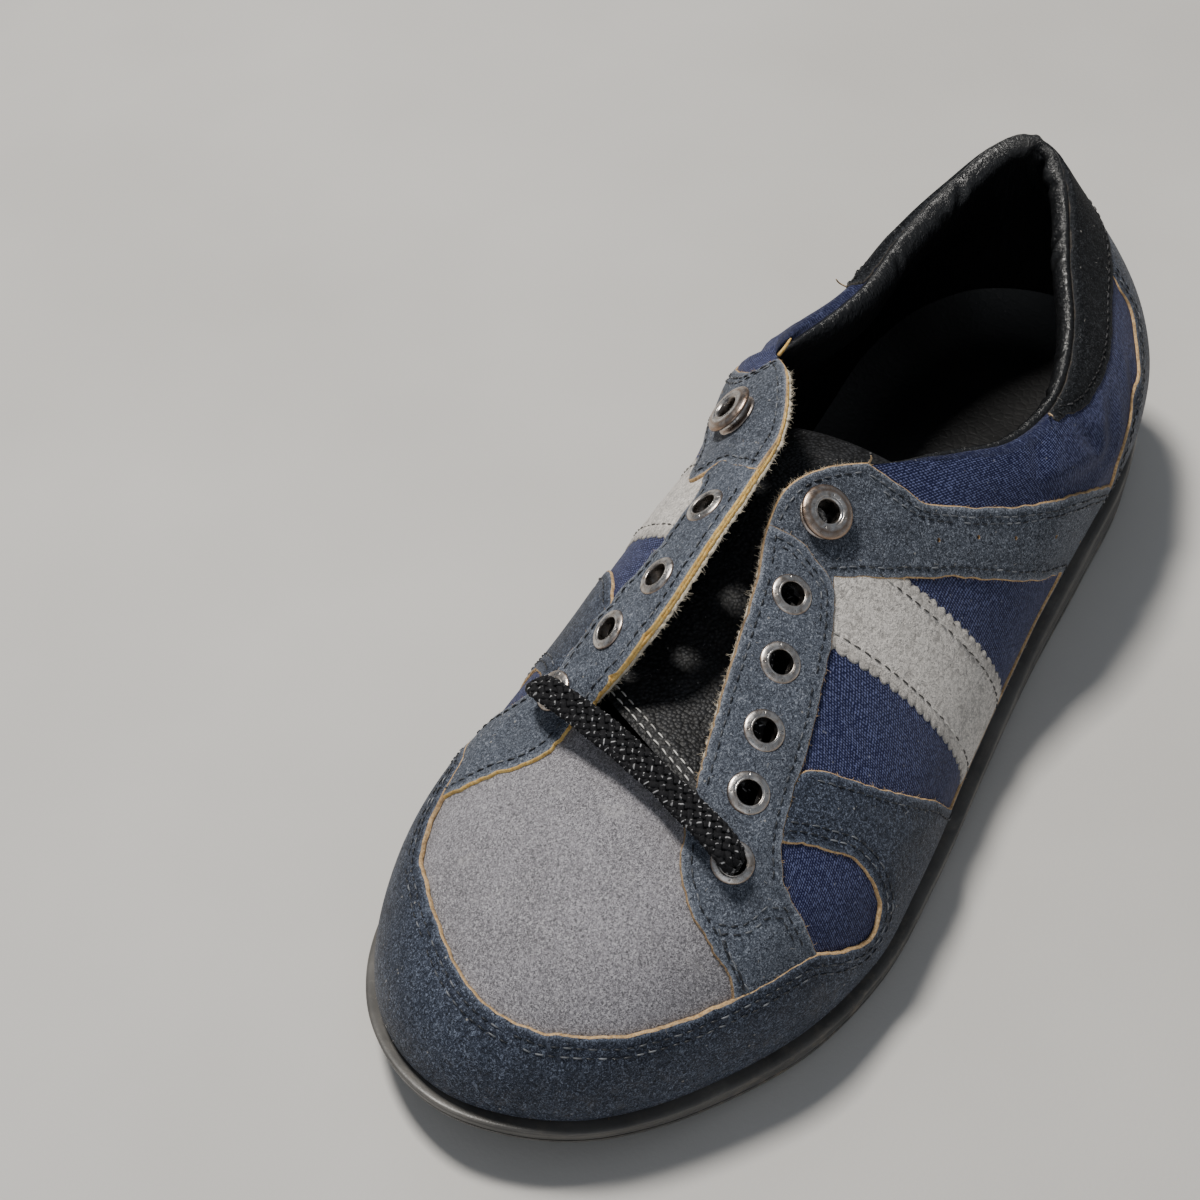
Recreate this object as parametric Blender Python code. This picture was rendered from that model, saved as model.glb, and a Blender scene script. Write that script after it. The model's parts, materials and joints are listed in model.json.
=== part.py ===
"""Worn low-cut sneaker for the left foot, standing empty on its sole.

+X runs to the toe, +Y to the outer side of the foot and +Z up.  The tables are in millimetres,
measured from the back of the heel, the middle line of the last and the floor.  ORIGIN_X and
ORIGIN_Y then carry the whole shoe to the middle of its box.

The upper is one shell.  A place on it is (along, up): along runs once round the edge of the sole,
from the tip of the toe down the outer side to the heel (0.5) and back up the inner side, and up
runs from the sole (0) to the topline (1).
"""
import itertools
import math

import bmesh
import bpy
import numpy as np
from mathutils import Matrix, Vector

# ---------------------------------------------------------------- driving dimensions, in mm
MM = 0.001
ORIGIN_X = 143.9
ORIGIN_Y = -0.3
FIT_GAP = 0.3          # air left between pieces that touch on the real shoe

WALL = 1.9             # leather and lining of the upper
WELT_INSET = 3.0       # the upper meets the sole this far inside its edge
HOLE_RADIUS = 3.6      # punched through the upper for an eyelet
BARREL_RADIUS = 3.3
BORE_RADIUS = 2.8
EYELET_RADIUS = 4.9
STUD_RADIUS = 6.5
STUD_HEIGHT = 3.6
LACE_RADIUS = 2.0
LACE_SPLIT = 0.6       # between the middle lines of the lace's pieces, about half of it at their rims
BAR_SPACING = 3.0      # between the places that give the crossing its line
END_SPACING = 5.0

PUNCH_DEPTH = 12.0     # right through the upper and the collar's foam
NECK_RADIUS = BARREL_RADIUS + 0.8
TURNED_SIDES = 12

GROOVE_WIDTH = 2.2
GROOVE_DEPTH = 1.6
GROOVE_LENGTH = 140.0  # runs out at both sides of the sole
HEEL_GROOVES = np.linspace(26, 86, 5)
BALL_GROOVES = np.linspace(184, 240, 8)

SHARP_DEGREES = 40

UPPER_COLUMNS = 96
SOLE_COLUMNS = 64
INSOLE_COLUMNS = UPPER_COLUMNS


def table(names, *rows):
    """A table with one section in each row, as one array for each named column."""
    return dict(zip(names.split(), np.array(rows, dtype=float).T))


# Outline of the sole, seen from above.
SOLE_EDGE = table(
    "x inner outer",
    (-1.0, -4.0, -4.0),
    (1.5, -17.0, 10.0),
    (7.0, -27.5, 20.5),
    (18.0, -36.5, 29.0),
    (38.0, -42.5, 35.5),
    (68.0, -43.0, 39.0),
    (103.0, -40.5, 42.0),
    (140.0, -41.0, 47.0),
    (175.0, -47.0, 52.0),
    (204.0, -53.0, 54.0),
    (230.0, -54.5, 49.5),
    (251.0, -51.5, 40.5),
    (267.0, -44.5, 31.0),
    (279.0, -34.5, 20.5),
    (286.5, -23.0, 8.0),
    (290.0, -8.0, -8.0),
)

# Heights along the sole: its top, where the upper sits, and its underside (heel, arch, toe spring).
SOLE_TOP = table(
    "x z",
    (0, 15.5),
    (40, 15.0),
    (95, 12.5),
    (150, 9.0),
    (200, 7.5),
    (235, 8.0),
    (265, 11.0),
    (290, 16.5),
)
SOLE_BOTTOM = table(
    "x z",
    (0, 1.2),
    (12, 0.2),
    (24, 0.0),
    (95, 0.0),
    (130, 1.2),
    (160, 0.9),
    (182, 0.0),
    (226, 0.0),
    (240, 0.9),
    (262, 4.2),
    (290, 11.0),
)

# Side of the sole from the tread to the top: height as a share of the wall, and inset.
SIDEWALL = table(
    "height inset",
    (0.00, 2.2),
    (0.12, 0.9),
    (0.30, 0.4),
    (0.38, 1.0),
    (0.46, 0.3),
    (0.86, 0.0),
    (1.00, 0.8),
)

# Top edge of the upper: front of the throat, outer facing, collar, heel, collar, inner facing.
TOPLINE = table(
    "along x y z",
    (0.000, 214.0, -3.0, 58.5),
    (0.070, 216.0, 5.0, 58.0),
    (0.115, 219.0, 11.0, 57.5),
    (0.150, 210.0, 9.5, 63.0),
    (0.180, 197.0, 6.0, 68.0),
    (0.205, 185.0, 3.0, 72.0),
    (0.230, 170.0, -1.0, 76.5),
    (0.250, 159.0, -5.0, 80.0),
    (0.265, 149.0, -6.0, 83.0),
    (0.280, 139.0, -2.0, 83.0),
    (0.295, 129.0, 5.0, 80.0),
    (0.315, 113.0, 15.0, 74.0),
    (0.335, 98.0, 24.0, 69.5),
    (0.360, 80.0, 27.5, 67.0),
    (0.385, 65.0, 25.5, 67.5),
    (0.405, 51.0, 20.0, 70.0),
    (0.430, 35.5, 10.5, 75.0),
    (0.460, 18.5, 1.0, 81.0),
    (0.490, 9.5, -7.0, 84.5),
    (0.515, 9.0, -14.5, 86.5),
    (0.540, 14.5, -22.0, 84.5),
    (0.565, 28.0, -28.0, 79.0),
    (0.600, 46.0, -32.5, 74.0),
    (0.640, 66.0, -34.0, 70.5),
    (0.675, 92.0, -36.0, 73.0),
    (0.695, 106.0, -32.0, 79.0),
    (0.715, 120.5, -21.5, 87.5),
    (0.735, 140.0, -12.0, 90.0),
    (0.755, 158.5, -9.0, 91.0),
    (0.780, 176.5, -8.5, 88.5),
    (0.810, 193.0, -9.5, 82.0),
    (0.840, 203.0, -13.5, 72.0),
    (0.880, 209.5, -18.0, 61.0),
    (0.930, 211.0, -11.5, 59.0),
)

# Sections of the upper: how it leaves the sole and how it comes into the topline.
SECTIONS = table(
    "along low_out low_up high_out high_down",
    (0.00, 2, 22, 38, 9),
    (0.05, 2, 22, 38, 9),
    (0.10, 4, 22, 34, 9),
    (0.15, 8, 24, 27, 10),
    (0.20, 9, 24, 28, 13),
    (0.25, 6, 24, 30, 14),
    (0.30, 8, 25, 20, 18),
    (0.35, 7, 26, 14, 16),
    (0.40, 10, 27, 17, 16),
    (0.45, 11, 27, 16, 18),
    (0.50, 9, 27, 9, 22),
    (0.55, 6, 26, 6, 22),
    (0.60, 6, 26, 6, 20),
    (0.65, 6, 26, 6, 18),
    (0.70, 9, 26, 26, 13),
    (0.75, 15, 31, 32, 16),
    (0.80, 13, 29, 28, 15),
    (0.85, 7, 24, 24, 12),
    (0.92, 2, 22, 34, 9),
)

# Foam in the collar, on top of the wall; it fades in between two heights up the side.
COLLAR_FOAM = table(
    "along thick",
    (0.00, 0.0),
    (0.26, 0.0),
    (0.29, 0.0),
    (0.34, 5.6),
    (0.40, 6.2),
    (0.45, 5.0),
    (0.50, 3.4),
    (0.55, 5.0),
    (0.60, 6.2),
    (0.66, 5.6),
    (0.71, 0.0),
    (0.75, 0.0),
)
FOAM_FROM = 0.40
FOAM_TO = 0.80

# Insole: how far up the wall its rim reaches, and the height of its top.
INSOLE_RIM = table(
    "along up",
    (0.00, 0.05),
    (0.25, 0.06),
    (0.35, 0.10),
    (0.42, 0.16),
    (0.50, 0.17),
    (0.58, 0.16),
    (0.65, 0.10),
    (0.75, 0.06),
)
INSOLE_TOP = table(
    "x z",
    (0, 20.0),
    (60, 19.5),
    (95, 17.5),
    (150, 13.0),
    (200, 11.3),
    (235, 11.6),
    (265, 14.5),
    (290, 19.5),
)
INSOLE_CUP = 16.0

# Tongue, from its sewn front edge back: middle of the top, half width, crown and thickness.
TONGUE = table(
    "x y z half_width crown thick",
    (222, -4.0, 51.5, 12, 1.0, 1.8),
    (214, -4.0, 53.2, 14, 1.5, 2.2),
    (205, -4.5, 54.0, 16, 2.5, 2.6),
    (190, -6.0, 54.5, 21, 4.0, 3.6),
    (165, -8.0, 54.5, 28, 6.0, 5.0),
    (140, -9.0, 54.0, 30, 7.0, 6.0),
    (118, -10.0, 52.0, 30, 7.0, 6.0),
    (106, -10.5, 50.0, 26, 6.0, 4.0),
)

# Eyelets and the larger studs above them: the row's number, and the place on the upper.
OUTER_EYELETS = table(
    "number along up",
    (1, 0.119, 0.805),
    (2, 0.152, 0.840),
    (3, 0.178, 0.860),
    (4, 0.207, 0.880),
    (5, 0.231, 0.905),
)
INNER_EYELETS = table(
    "number along up",
    (1, 0.864, 0.810),
    (2, 0.824, 0.840),
    (3, 0.797, 0.895),
    (4, 0.766, 0.905),
)
OUTER_STUD = (0.265, 0.890)
INNER_STUD = (0.728, 0.830)

# Middle line of the lace: along the tongue's inner side, out through the lowest inner eyelet,
# across the throat, in through the lowest outer eyelet and back along the tongue.
LACE = table(
    "x y z",
    (133.0, -31.0, 62.8),
    (150.0, -30.0, 63.2),
    (167.0, -28.6, 62.6),
    (182.0, -28.2, 61.0),
    (193.0, -29.4, 57.0),
    (200.5, -28.6, 53.4),
    (205.7, -27.7, 52.8),
    (208.6, -30.0, 57.1),
    (211.4, -32.0, 61.0),
    (213.6, -28.6, 63.8),
    (215.0, -21.0, 64.0),
    (217.0, -10.0, 63.2),
    (220.0, 3.0, 61.8),
    (223.0, 14.0, 60.0),
    (225.6, 23.0, 58.4),
    (227.0, 27.2, 56.2),
    (224.8, 25.8, 51.6),
    (223.1, 23.6, 46.4),
    (218.5, 20.3, 44.6),
    (211.0, 17.5, 48.0),
    (202.0, 15.8, 54.6),
    (192.0, 12.0, 60.4),
    (180.0, 7.0, 63.4),
    (166.0, 4.5, 64.3),
    (149.0, 3.5, 65.2),
)
LACE_INWARD_1 = 4      # rows where the lace lies inside again, past the inner and the outer eyelet
LACE_INWARD_2 = 20


# ---------------------------------------------------------------- curves through the tables
def smooth(places, values, wanted, around=None):
    """Smooth curve through the values, with an even bend at each; closed when around is its length."""
    wanted = np.asarray(wanted, dtype=float)
    if around:
        places = np.concatenate([places[-2:] - around, places, places[:2] + around])
        values = np.concatenate([values[-2:], values, values[:2]])
        wanted = np.mod(wanted - places[2], around) + places[2]
    else:
        places = np.concatenate([[2 * places[0] - places[1]], places, [2 * places[-1] - places[-2]]])
        values = np.concatenate([[2 * values[0] - values[1]], values, [2 * values[-1] - values[-2]]])
    gap = np.diff(places)
    slope = np.diff(values) / gap
    lean = (slope[:-1] * gap[1:] + slope[1:] * gap[:-1]) / (gap[:-1] + gap[1:])
    i = np.clip(np.searchsorted(places, wanted, side="right") - 1, 1, len(places) - 3)
    t = (wanted - places[i]) / gap[i]
    start = (1 + 2 * t) * (1 - t) ** 2 * values[i] + t * (1 - t) ** 2 * gap[i] * lean[i - 1]
    return start + t * t * (3 - 2 * t) * values[i + 1] + t * t * (t - 1) * gap[i] * lean[i]


def points_from(chart, key, names, wanted, around=None):
    """Several columns of a table at once, as points."""
    return np.stack([smooth(chart[key], chart[n], wanted, around) for n in names.split()], -1)


def sole_top(x):
    """Height of the sole's top, at a place along the shoe."""
    return smooth(SOLE_TOP["x"], SOLE_TOP["z"], x)


def sole_bottom(x):
    """Height of the tread above the floor."""
    return np.maximum(smooth(SOLE_BOTTOM["x"], SOLE_BOTTOM["z"], x), 0.0)


def insole_top(x):
    """Height of the footbed."""
    return smooth(INSOLE_TOP["x"], INSOLE_TOP["z"], x)


def lengths_along(points):
    """Distance walked to each point of a line."""
    steps = np.linalg.norm(np.diff(points, axis=0), axis=1)
    return np.concatenate([[0.0], np.cumsum(steps)])


def sole_loop(count=720):
    """Evenly spaced points round the sole: toe, outer side, heel, inner side."""
    outer = np.stack([SOLE_EDGE["x"], SOLE_EDGE["outer"]], -1)[::-1]
    inner = np.stack([SOLE_EDGE["x"], SOLE_EDGE["inner"]], -1)[1:-1]
    corners = np.concatenate([outer, inner])
    walked = lengths_along(np.concatenate([corners, corners[:1]]))
    steps = np.linspace(0, walked[-1], count + 1)
    rough = np.stack([smooth(walked[:-1], corners[:, k], steps, walked[-1]) for k in (0, 1)], -1)
    walked = lengths_along(rough)
    even = np.linspace(0, walked[-1], count + 1)[:-1]
    return np.stack([np.interp(even, walked, rough[:, k]) for k in (0, 1)], -1)


SOLE_LOOP = sole_loop()
NORMAL_REACH = 3       # points of the loop on each side that give its direction


def edge(along, inset=0.0):
    """Points on the sole's outline, drawn in by inset, and the directions out of it."""
    count = len(SOLE_LOOP)
    place = np.mod(np.asarray(along, dtype=float), 1.0) * count
    i = np.floor(place).astype(int) % count
    part = (place - np.floor(place))[..., None]
    point = SOLE_LOOP[i] * (1 - part) + SOLE_LOOP[(i + 1) % count] * part
    ahead = SOLE_LOOP[(i + 1 + NORMAL_REACH) % count] - SOLE_LOOP[(i - NORMAL_REACH) % count]
    ahead = ahead / np.linalg.norm(ahead, axis=-1, keepdims=True)
    out = np.stack([ahead[..., 1], -ahead[..., 0]], -1)
    return point - inset * out, out


# ---------------------------------------------------------------- the shell of the upper
def outer_handles(along):
    """The four handles of the section at each place along the sole."""
    foot, out = edge(along, WELT_INSET)
    foot = np.concatenate([foot, sole_top(foot[..., :1]) + FIT_GAP], -1)
    out = np.concatenate([out, np.zeros_like(out[..., :1])], -1)
    top = points_from(TOPLINE, "along", "x y z", along, 1.0)
    reach = points_from(SECTIONS, "along", "low_out low_up high_out high_down", along, 1.0)
    rise = np.array([0.0, 0.0, 1.0])
    low = foot + out * reach[..., 0:1] + rise * reach[..., 1:2]
    high = top + out * reach[..., 2:3] - rise * reach[..., 3:4]
    return foot, low, high, top


def outside(along, up):
    """Point on the outside of the upper."""
    along, up = np.broadcast_arrays(np.asarray(along, float), np.asarray(up, float))
    foot, low, high, top = outer_handles(along)
    up = up[..., None]
    down = 1 - up
    return down**3 * foot + 3 * up * down**2 * low + 3 * up**2 * down * high + up**3 * top


def out_of(along, up):
    """Direction straight out of the upper."""
    step = 1e-3
    low = np.clip(np.asarray(up, float) - step, 0, 1)
    high = np.clip(np.asarray(up, float) + step, 0, 1)
    forward = outside(along + step, up) - outside(along - step, up)
    upward = outside(along, high) - outside(along, low)
    normal = np.cross(forward, upward)
    return normal / np.linalg.norm(normal, axis=-1, keepdims=True)


def wall(along, up):
    """Thickness of the upper: one skin, and foam in the collar."""
    t = np.clip((np.asarray(up, float) - FOAM_FROM) / (FOAM_TO - FOAM_FROM), 0, 1)
    foam = smooth(COLLAR_FOAM["along"], COLLAR_FOAM["thick"], along, 1.0)
    return WALL + np.maximum(foam, 0) * t * t * (3 - 2 * t)


def inside(along, up, clear=0.0):
    """Point on the inside of the upper, or clear of it by a gap."""
    return outside(along, up) - out_of(along, up) * (wall(along, up) + clear)[..., None]


# ---------------------------------------------------------------- making solids
def material(name, colour, roughness, metallic=0.0):
    """A plain finish of one colour."""
    made = bpy.data.materials.new(name)
    made.use_nodes = True
    shader = made.node_tree.nodes["Principled BSDF"]
    shader.inputs["Base Color"].default_value = (*colour, 1.0)
    shader.inputs["Roughness"].default_value = roughness
    shader.inputs["Metallic"].default_value = metallic
    return made


def to_place(point):
    """A point of the tables as a place in the scene, in metres."""
    return Vector((point[0] - ORIGIN_X, point[1] - ORIGIN_Y, point[2])) * MM


def add_ring(bm, points):
    """The mesh's points for one ring."""
    return [bm.verts.new(to_place(p)) for p in points]


def join_rings(bm, first, second):
    """Faces between two rings of the same number of points."""
    count = len(first)
    for i in range(count):
        j = (i + 1) % count
        bm.faces.new((first[i], first[j], second[j], second[i]))


def fill_across(bm, ring, across, height):
    """Close a ring with rungs from the outer side to the inner; height gives z from x and y."""
    half = len(ring) // 2
    rungs = [[ring[0]] * (across + 1)]
    for i in range(1, half):
        left = ring[i].co / MM
        right = ring[-i].co / MM
        rung = [ring[i]]
        for k in range(1, across):
            spot = left.lerp(right, k / across)
            x, y = spot.x + ORIGIN_X, spot.y + ORIGIN_Y
            rung.append(bm.verts.new(to_place((x, y, height(x, y)))))
        rungs.append([*rung, ring[-i]])
    rungs.append([ring[half]] * (across + 1))
    for low, high in zip(rungs, rungs[1:]):
        for k in range(across):
            corners = dict.fromkeys((low[k], high[k], high[k + 1], low[k + 1]))
            bm.faces.new(tuple(corners))


def in_scene(name, data):
    """A named object in the scene, made from a mesh or a curve."""
    made = bpy.data.objects.new(name, data)
    bpy.context.scene.collection.objects.link(made)
    return made


def plain_mesh(name, bm):
    """The finished mesh of what was drawn."""
    mesh = bpy.data.meshes.new(name)
    bm.to_mesh(mesh)
    bm.free()
    return mesh


def solid(name, bm, finish):
    """Turn a closed mesh into a named object with its faces pointing out."""
    bmesh.ops.recalc_face_normals(bm, faces=bm.faces)
    mesh = plain_mesh(name, bm)
    mesh.shade_smooth()
    mesh.set_sharp_from_angle(angle=math.radians(SHARP_DEGREES))
    mesh.materials.append(finish)
    return in_scene(name, mesh)


def cut(target, cutter):
    """Take the cutter's shape out of the target."""
    cutter.hide_render = True
    cutter.display_type = "WIRE"
    boolean = target.modifiers.new("cut_" + cutter.name, "BOOLEAN")
    boolean.operation = "DIFFERENCE"
    boolean.solver = "EXACT"
    boolean.object = cutter


def turned(name, profile, frame, finish):
    """Solid spun from a closed profile of (radius, height) pairs round the frame's own Z."""
    bm = bmesh.new()
    rings = []
    for i in range(TURNED_SIDES):
        turn = 2 * math.pi * i / TURNED_SIDES
        spots = [Vector((r * math.cos(turn), r * math.sin(turn), h)) for r, h in profile]
        rings.append(add_ring(bm, [frame @ s for s in spots]))
    for i in range(TURNED_SIDES):
        join_rings(bm, rings[i], rings[(i + 1) % TURNED_SIDES])
    return solid(name, bm, finish)


# ---------------------------------------------------------------- the sub-parts
def build_outsole(finish):
    """Rubber sole: tread, side with a moulded line, and the flat bed for the upper."""
    bm = bmesh.new()
    along = np.arange(SOLE_COLUMNS) / SOLE_COLUMNS
    rings = []
    for share, inset in zip(SIDEWALL["height"], SIDEWALL["inset"]):
        spots, _ = edge(along, inset)
        low, high = sole_bottom(spots[:, 0]), sole_top(spots[:, 0])
        rings.append(add_ring(bm, np.column_stack([spots, low + share * (high - low)])))
    for low, high in zip(rings, rings[1:]):
        join_rings(bm, low, high)
    fill_across(bm, rings[0], 8, lambda x, y: float(sole_bottom(x)))
    fill_across(bm, rings[-1], 4, lambda x, y: float(sole_top(x)))
    return solid("outsole", bm, finish)


def build_grooves():
    """Cutter for the cross grooves under the heel and the ball of the foot."""
    bm = bmesh.new()
    size = Vector((GROOVE_WIDTH, GROOVE_LENGTH, 2 * GROOVE_DEPTH)) * MM
    for x in (*HEEL_GROOVES, *BALL_GROOVES):
        spot = to_place((x, 0.0, float(sole_bottom(x))))
        bmesh.ops.create_cube(bm, size=1.0, matrix=Matrix.LocRotScale(spot, None, size))
    return in_scene("groove_cutter", plain_mesh("groove_cutter", bm))


def build_insole(finish):
    """Cupped footbed that stands inside the upper and rests on the sole."""
    bm = bmesh.new()
    along = np.arange(INSOLE_COLUMNS) / INSOLE_COLUMNS
    rim_up = smooth(INSOLE_RIM["along"], INSOLE_RIM["up"], along, 1.0)
    base = inside(along, 0.0 * along, FIT_GAP)
    base[:, 2] = sole_top(base[:, 0]) + FIT_GAP
    rim = inside(along, rim_up, FIT_GAP)
    _, out = edge(along)
    rings = [base, rim]
    for inset in (1.6, 7.0, INSOLE_CUP):
        spots = rim[:, :2] - out * inset
        bed = insole_top(spots[:, 0])
        left = (1 - inset / INSOLE_CUP) ** 2
        rings.append(np.column_stack([spots, bed + left * np.maximum(rim[:, 2] - bed, 0)]))
    verts = [add_ring(bm, ring) for ring in rings]
    for low, high in zip(verts, verts[1:]):
        join_rings(bm, low, high)
    fill_across(bm, verts[0], 2, lambda x, y: float(sole_top(x)) + FIT_GAP)
    fill_across(bm, verts[-1], 2, lambda x, y: float(insole_top(x)))
    return solid("insole", bm, finish)


def build_upper(finish):
    """The hollow shell: outside, rolled top edge, inside, and the edge that meets the sole."""
    bm = bmesh.new()
    along = np.arange(UPPER_COLUMNS) / UPPER_COLUMNS
    _, _, high, top = outer_handles(along)
    top_wall = wall(along, np.ones_like(along))
    roll = top_wall / 2
    roll_share = roll / (3 * np.linalg.norm(top - high, axis=1))
    start = 1 - roll_share
    rings = [outside(along, start * share) for share in np.linspace(0, 1, 11)]
    for turn in np.radians((60, 120, 180)):
        up = 1 - roll_share * (1 - math.sin(turn))
        offset = top_wall / 2 - roll * math.cos(turn)
        rings.append(outside(along, up) - out_of(along, up) * offset[:, None])
    rings += [inside(along, start * share) for share in np.linspace(1, 0, 10)[1:] ** 1.5]
    for ring in (rings[0], rings[-1]):
        ring[:, 2] = sole_top(ring[:, 0]) + FIT_GAP
    verts = [add_ring(bm, ring) for ring in rings]
    for i, ring in enumerate(verts):
        join_rings(bm, ring, verts[(i + 1) % len(verts)])
    return solid("upper", bm, finish)


def frame_on_upper(along, up):
    """Axes standing on the upper, with Z straight out of it and X along the shoe."""
    spot = Vector(outside(along, up))
    out = Vector(out_of(along, up))
    ahead = Vector(outside(along + 1e-3, up)) - spot
    ahead = (ahead - ahead.dot(out) * out).normalized()
    frame = Matrix((ahead, out.cross(ahead), out)).transposed().to_4x4()
    frame.translation = spot
    return frame


def leather_range(along, up, reach):
    """How high the outside rises and how low the inside dips within reach of a place."""
    frame = frame_on_upper(along, up).inverted()
    step = 1e-3
    per_along = np.linalg.norm(outside(along + step, up) - outside(along, up)) / step
    per_up = np.linalg.norm(outside(along, up + step) - outside(along, up)) / step
    high, low = 0.0, -WALL
    for turn, share in itertools.product(np.radians(np.arange(0, 360, 30)), (0.7, 1.0, 1.5)):
        near = along + share * reach * math.cos(turn) / per_along
        above = min(up + share * reach * math.sin(turn) / per_up, 1.0)
        high = max(high, (frame @ Vector(outside(near, above))).z)
        low = min(low, (frame @ Vector(inside(near, above))).z)
    return high, low


def build_eyelet(name, along, up, finish):
    """Pressed metal eyelet: a domed flange outside, a barrel, and a flared edge inside."""
    high, low = leather_range(along, up, EYELET_RADIUS)
    seat, back = high + FIT_GAP, low - FIT_GAP
    profile = [
        (BORE_RADIUS, back - 0.7),
        (BARREL_RADIUS + 0.9, back - 0.6),
        (BARREL_RADIUS + 0.9, back),
        (BARREL_RADIUS, back),
        (BARREL_RADIUS, seat),
        (EYELET_RADIUS, seat),
        (EYELET_RADIUS - 0.9, seat + 0.9),
        (BORE_RADIUS + 0.3, seat + 0.7),
        (BORE_RADIUS, seat + 0.2),
    ]
    return turned(name, profile, frame_on_upper(along, up), finish)


def build_stud(name, along, up, finish):
    """Hollow spool: a base on the leather, a neck for the lace and a domed flange."""
    high, low = leather_range(along, up, STUD_RADIUS)
    seat, back = high + FIT_GAP, low - FIT_GAP
    top = seat + STUD_HEIGHT
    profile = [
        (BORE_RADIUS, back - 0.8),
        (BARREL_RADIUS + 1.2, back - 0.7),
        (BARREL_RADIUS + 1.2, back),
        (BARREL_RADIUS, back),
        (BARREL_RADIUS, seat),
        (STUD_RADIUS - 0.4, seat),
        (STUD_RADIUS - 0.4, seat + 0.7),
        (NECK_RADIUS, seat + 1.0),
        (NECK_RADIUS, top - 1.1),
        (STUD_RADIUS, top - 0.9),
        (STUD_RADIUS - 0.3, top - 0.3),
        (STUD_RADIUS - 2.0, top + 0.2),
        (BORE_RADIUS + 0.5, top),
        (BORE_RADIUS, top - 0.5),
    ]
    return turned(name, profile, frame_on_upper(along, up), finish)


def build_punches(places):
    """Cutter for all the holes that the eyelets and studs go through."""
    bm = bmesh.new()
    for along, up in places:
        frame = frame_on_upper(along, up)
        frame.translation = to_place(frame.translation)
        bmesh.ops.create_cone(
            bm,
            cap_ends=True,
            segments=TURNED_SIDES,
            radius1=HOLE_RADIUS * MM,
            radius2=HOLE_RADIUS * MM,
            depth=PUNCH_DEPTH * MM,
            matrix=frame,
        )
    return in_scene("punch_cutter", plain_mesh("punch_cutter", bm))


def build_tongue(finish):
    """Thin leather tongue with a rounded section, lying in the throat."""
    bm = bmesh.new()
    stations = np.linspace(TONGUE["x"][0], TONGUE["x"][-1], 15)
    places = -TONGUE["x"]
    across = np.sin(np.linspace(-math.pi / 2, math.pi / 2, 11))
    rings = []
    for x in stations:
        y, z, half, crown, thick = (
            float(smooth(places, TONGUE[n], -x)) for n in "y z half_width crown thick".split()
        )
        middle = z + crown * (1 - across**2)
        half_thick = thick / 2 * np.sqrt(1 - across**8)
        top = [(x, y + half * v, m + t) for v, m, t in zip(across, middle, half_thick)]
        under = [(x, y + half * v, m - t) for v, m, t in zip(across, middle, half_thick)]
        rings.append(add_ring(bm, top + under[-2:0:-1]))
    for first, second in zip(rings, rings[1:]):
        join_rings(bm, first, second)
    bm.faces.new(rings[0])
    bm.faces.new(rings[-1])
    return solid("tongue", bm, finish)


def lace_line(first, last, spacing, short=(0.0, 0.0)):
    """Evenly spaced points of the lace between two rows of its table, a little short at the ends."""
    corners = np.stack([LACE[n] for n in "xyz"], -1)
    walked = lengths_along(corners)
    fine = np.linspace(walked[first], walked[last], 400)
    line = np.stack([smooth(walked, corners[:, k], fine) for k in range(3)], -1)
    walked = lengths_along(line)
    start, end = short[0], walked[-1] - short[1]
    even = np.linspace(start, end, round((end - start) / spacing) + 1)
    return np.stack([np.interp(even, walked, line[:, k]) for k in range(3)], -1)


def build_lace(name, points, finish):
    """Plain tube along a stretch of the lace."""
    curve = bpy.data.curves.new(name, "CURVE")
    curve.dimensions = "3D"
    curve.bevel_depth = LACE_RADIUS * MM
    curve.bevel_resolution = 2
    curve.use_fill_caps = True
    spline = curve.splines.new("POLY")
    spline.points.add(len(points) - 1)
    for spot, point in zip(spline.points, points):
        spot.co = (*to_place(point), 1.0)
    curve.materials.append(finish)
    return in_scene(name, curve)


for thing in list(bpy.data.objects):
    bpy.data.objects.remove(thing, do_unlink=True)
rubber = material("sole_rubber", (0.16, 0.155, 0.15), 0.45)
leather = material("upper_leather", (0.035, 0.045, 0.06), 0.75)
black_leather = material("tongue_leather", (0.012, 0.012, 0.013), 0.55)
footbed = material("footbed", (0.01, 0.01, 0.011), 0.35)
nickel = material("nickel", (0.45, 0.42, 0.39), 0.3, 1.0)
braid = material("black_braid", (0.015, 0.015, 0.016), 0.8)

outsole = build_outsole(rubber)
cut(outsole, build_grooves())
build_insole(footbed)
upper = build_upper(leather)
build_tongue(black_leather)

punched = [OUTER_STUD, INNER_STUD]
for side, row in (("lateral", OUTER_EYELETS), ("medial", INNER_EYELETS)):
    for number, along, up in zip(row["number"], row["along"], row["up"]):
        punched.append((along, up))
        build_eyelet(f"eyelet_{side}_{int(number)}", along, up, nickel)
build_stud("stud_lateral", *OUTER_STUD, nickel)
build_stud("stud_medial", *INNER_STUD, nickel)
cut(upper, build_punches(punched))

last_row = len(LACE["x"]) - 1
bar = lace_line(LACE_INWARD_1, LACE_INWARD_2, BAR_SPACING)
inner_end = lace_line(0, LACE_INWARD_1, END_SPACING, (0.0, LACE_SPLIT))
outer_end = lace_line(LACE_INWARD_2, last_row, END_SPACING, (LACE_SPLIT, 0.0))
build_lace("lace_bar", bar, braid)
build_lace("lace_end_medial", inner_end, braid)
build_lace("lace_end_lateral", outer_end, braid)
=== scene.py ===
import json
import math

import bpy
import numpy as np
from mathutils import Matrix, Quaternion, Vector
from mathutils.geometry import delaunay_2d_cdt
from mathutils.kdtree import KDTree

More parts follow.
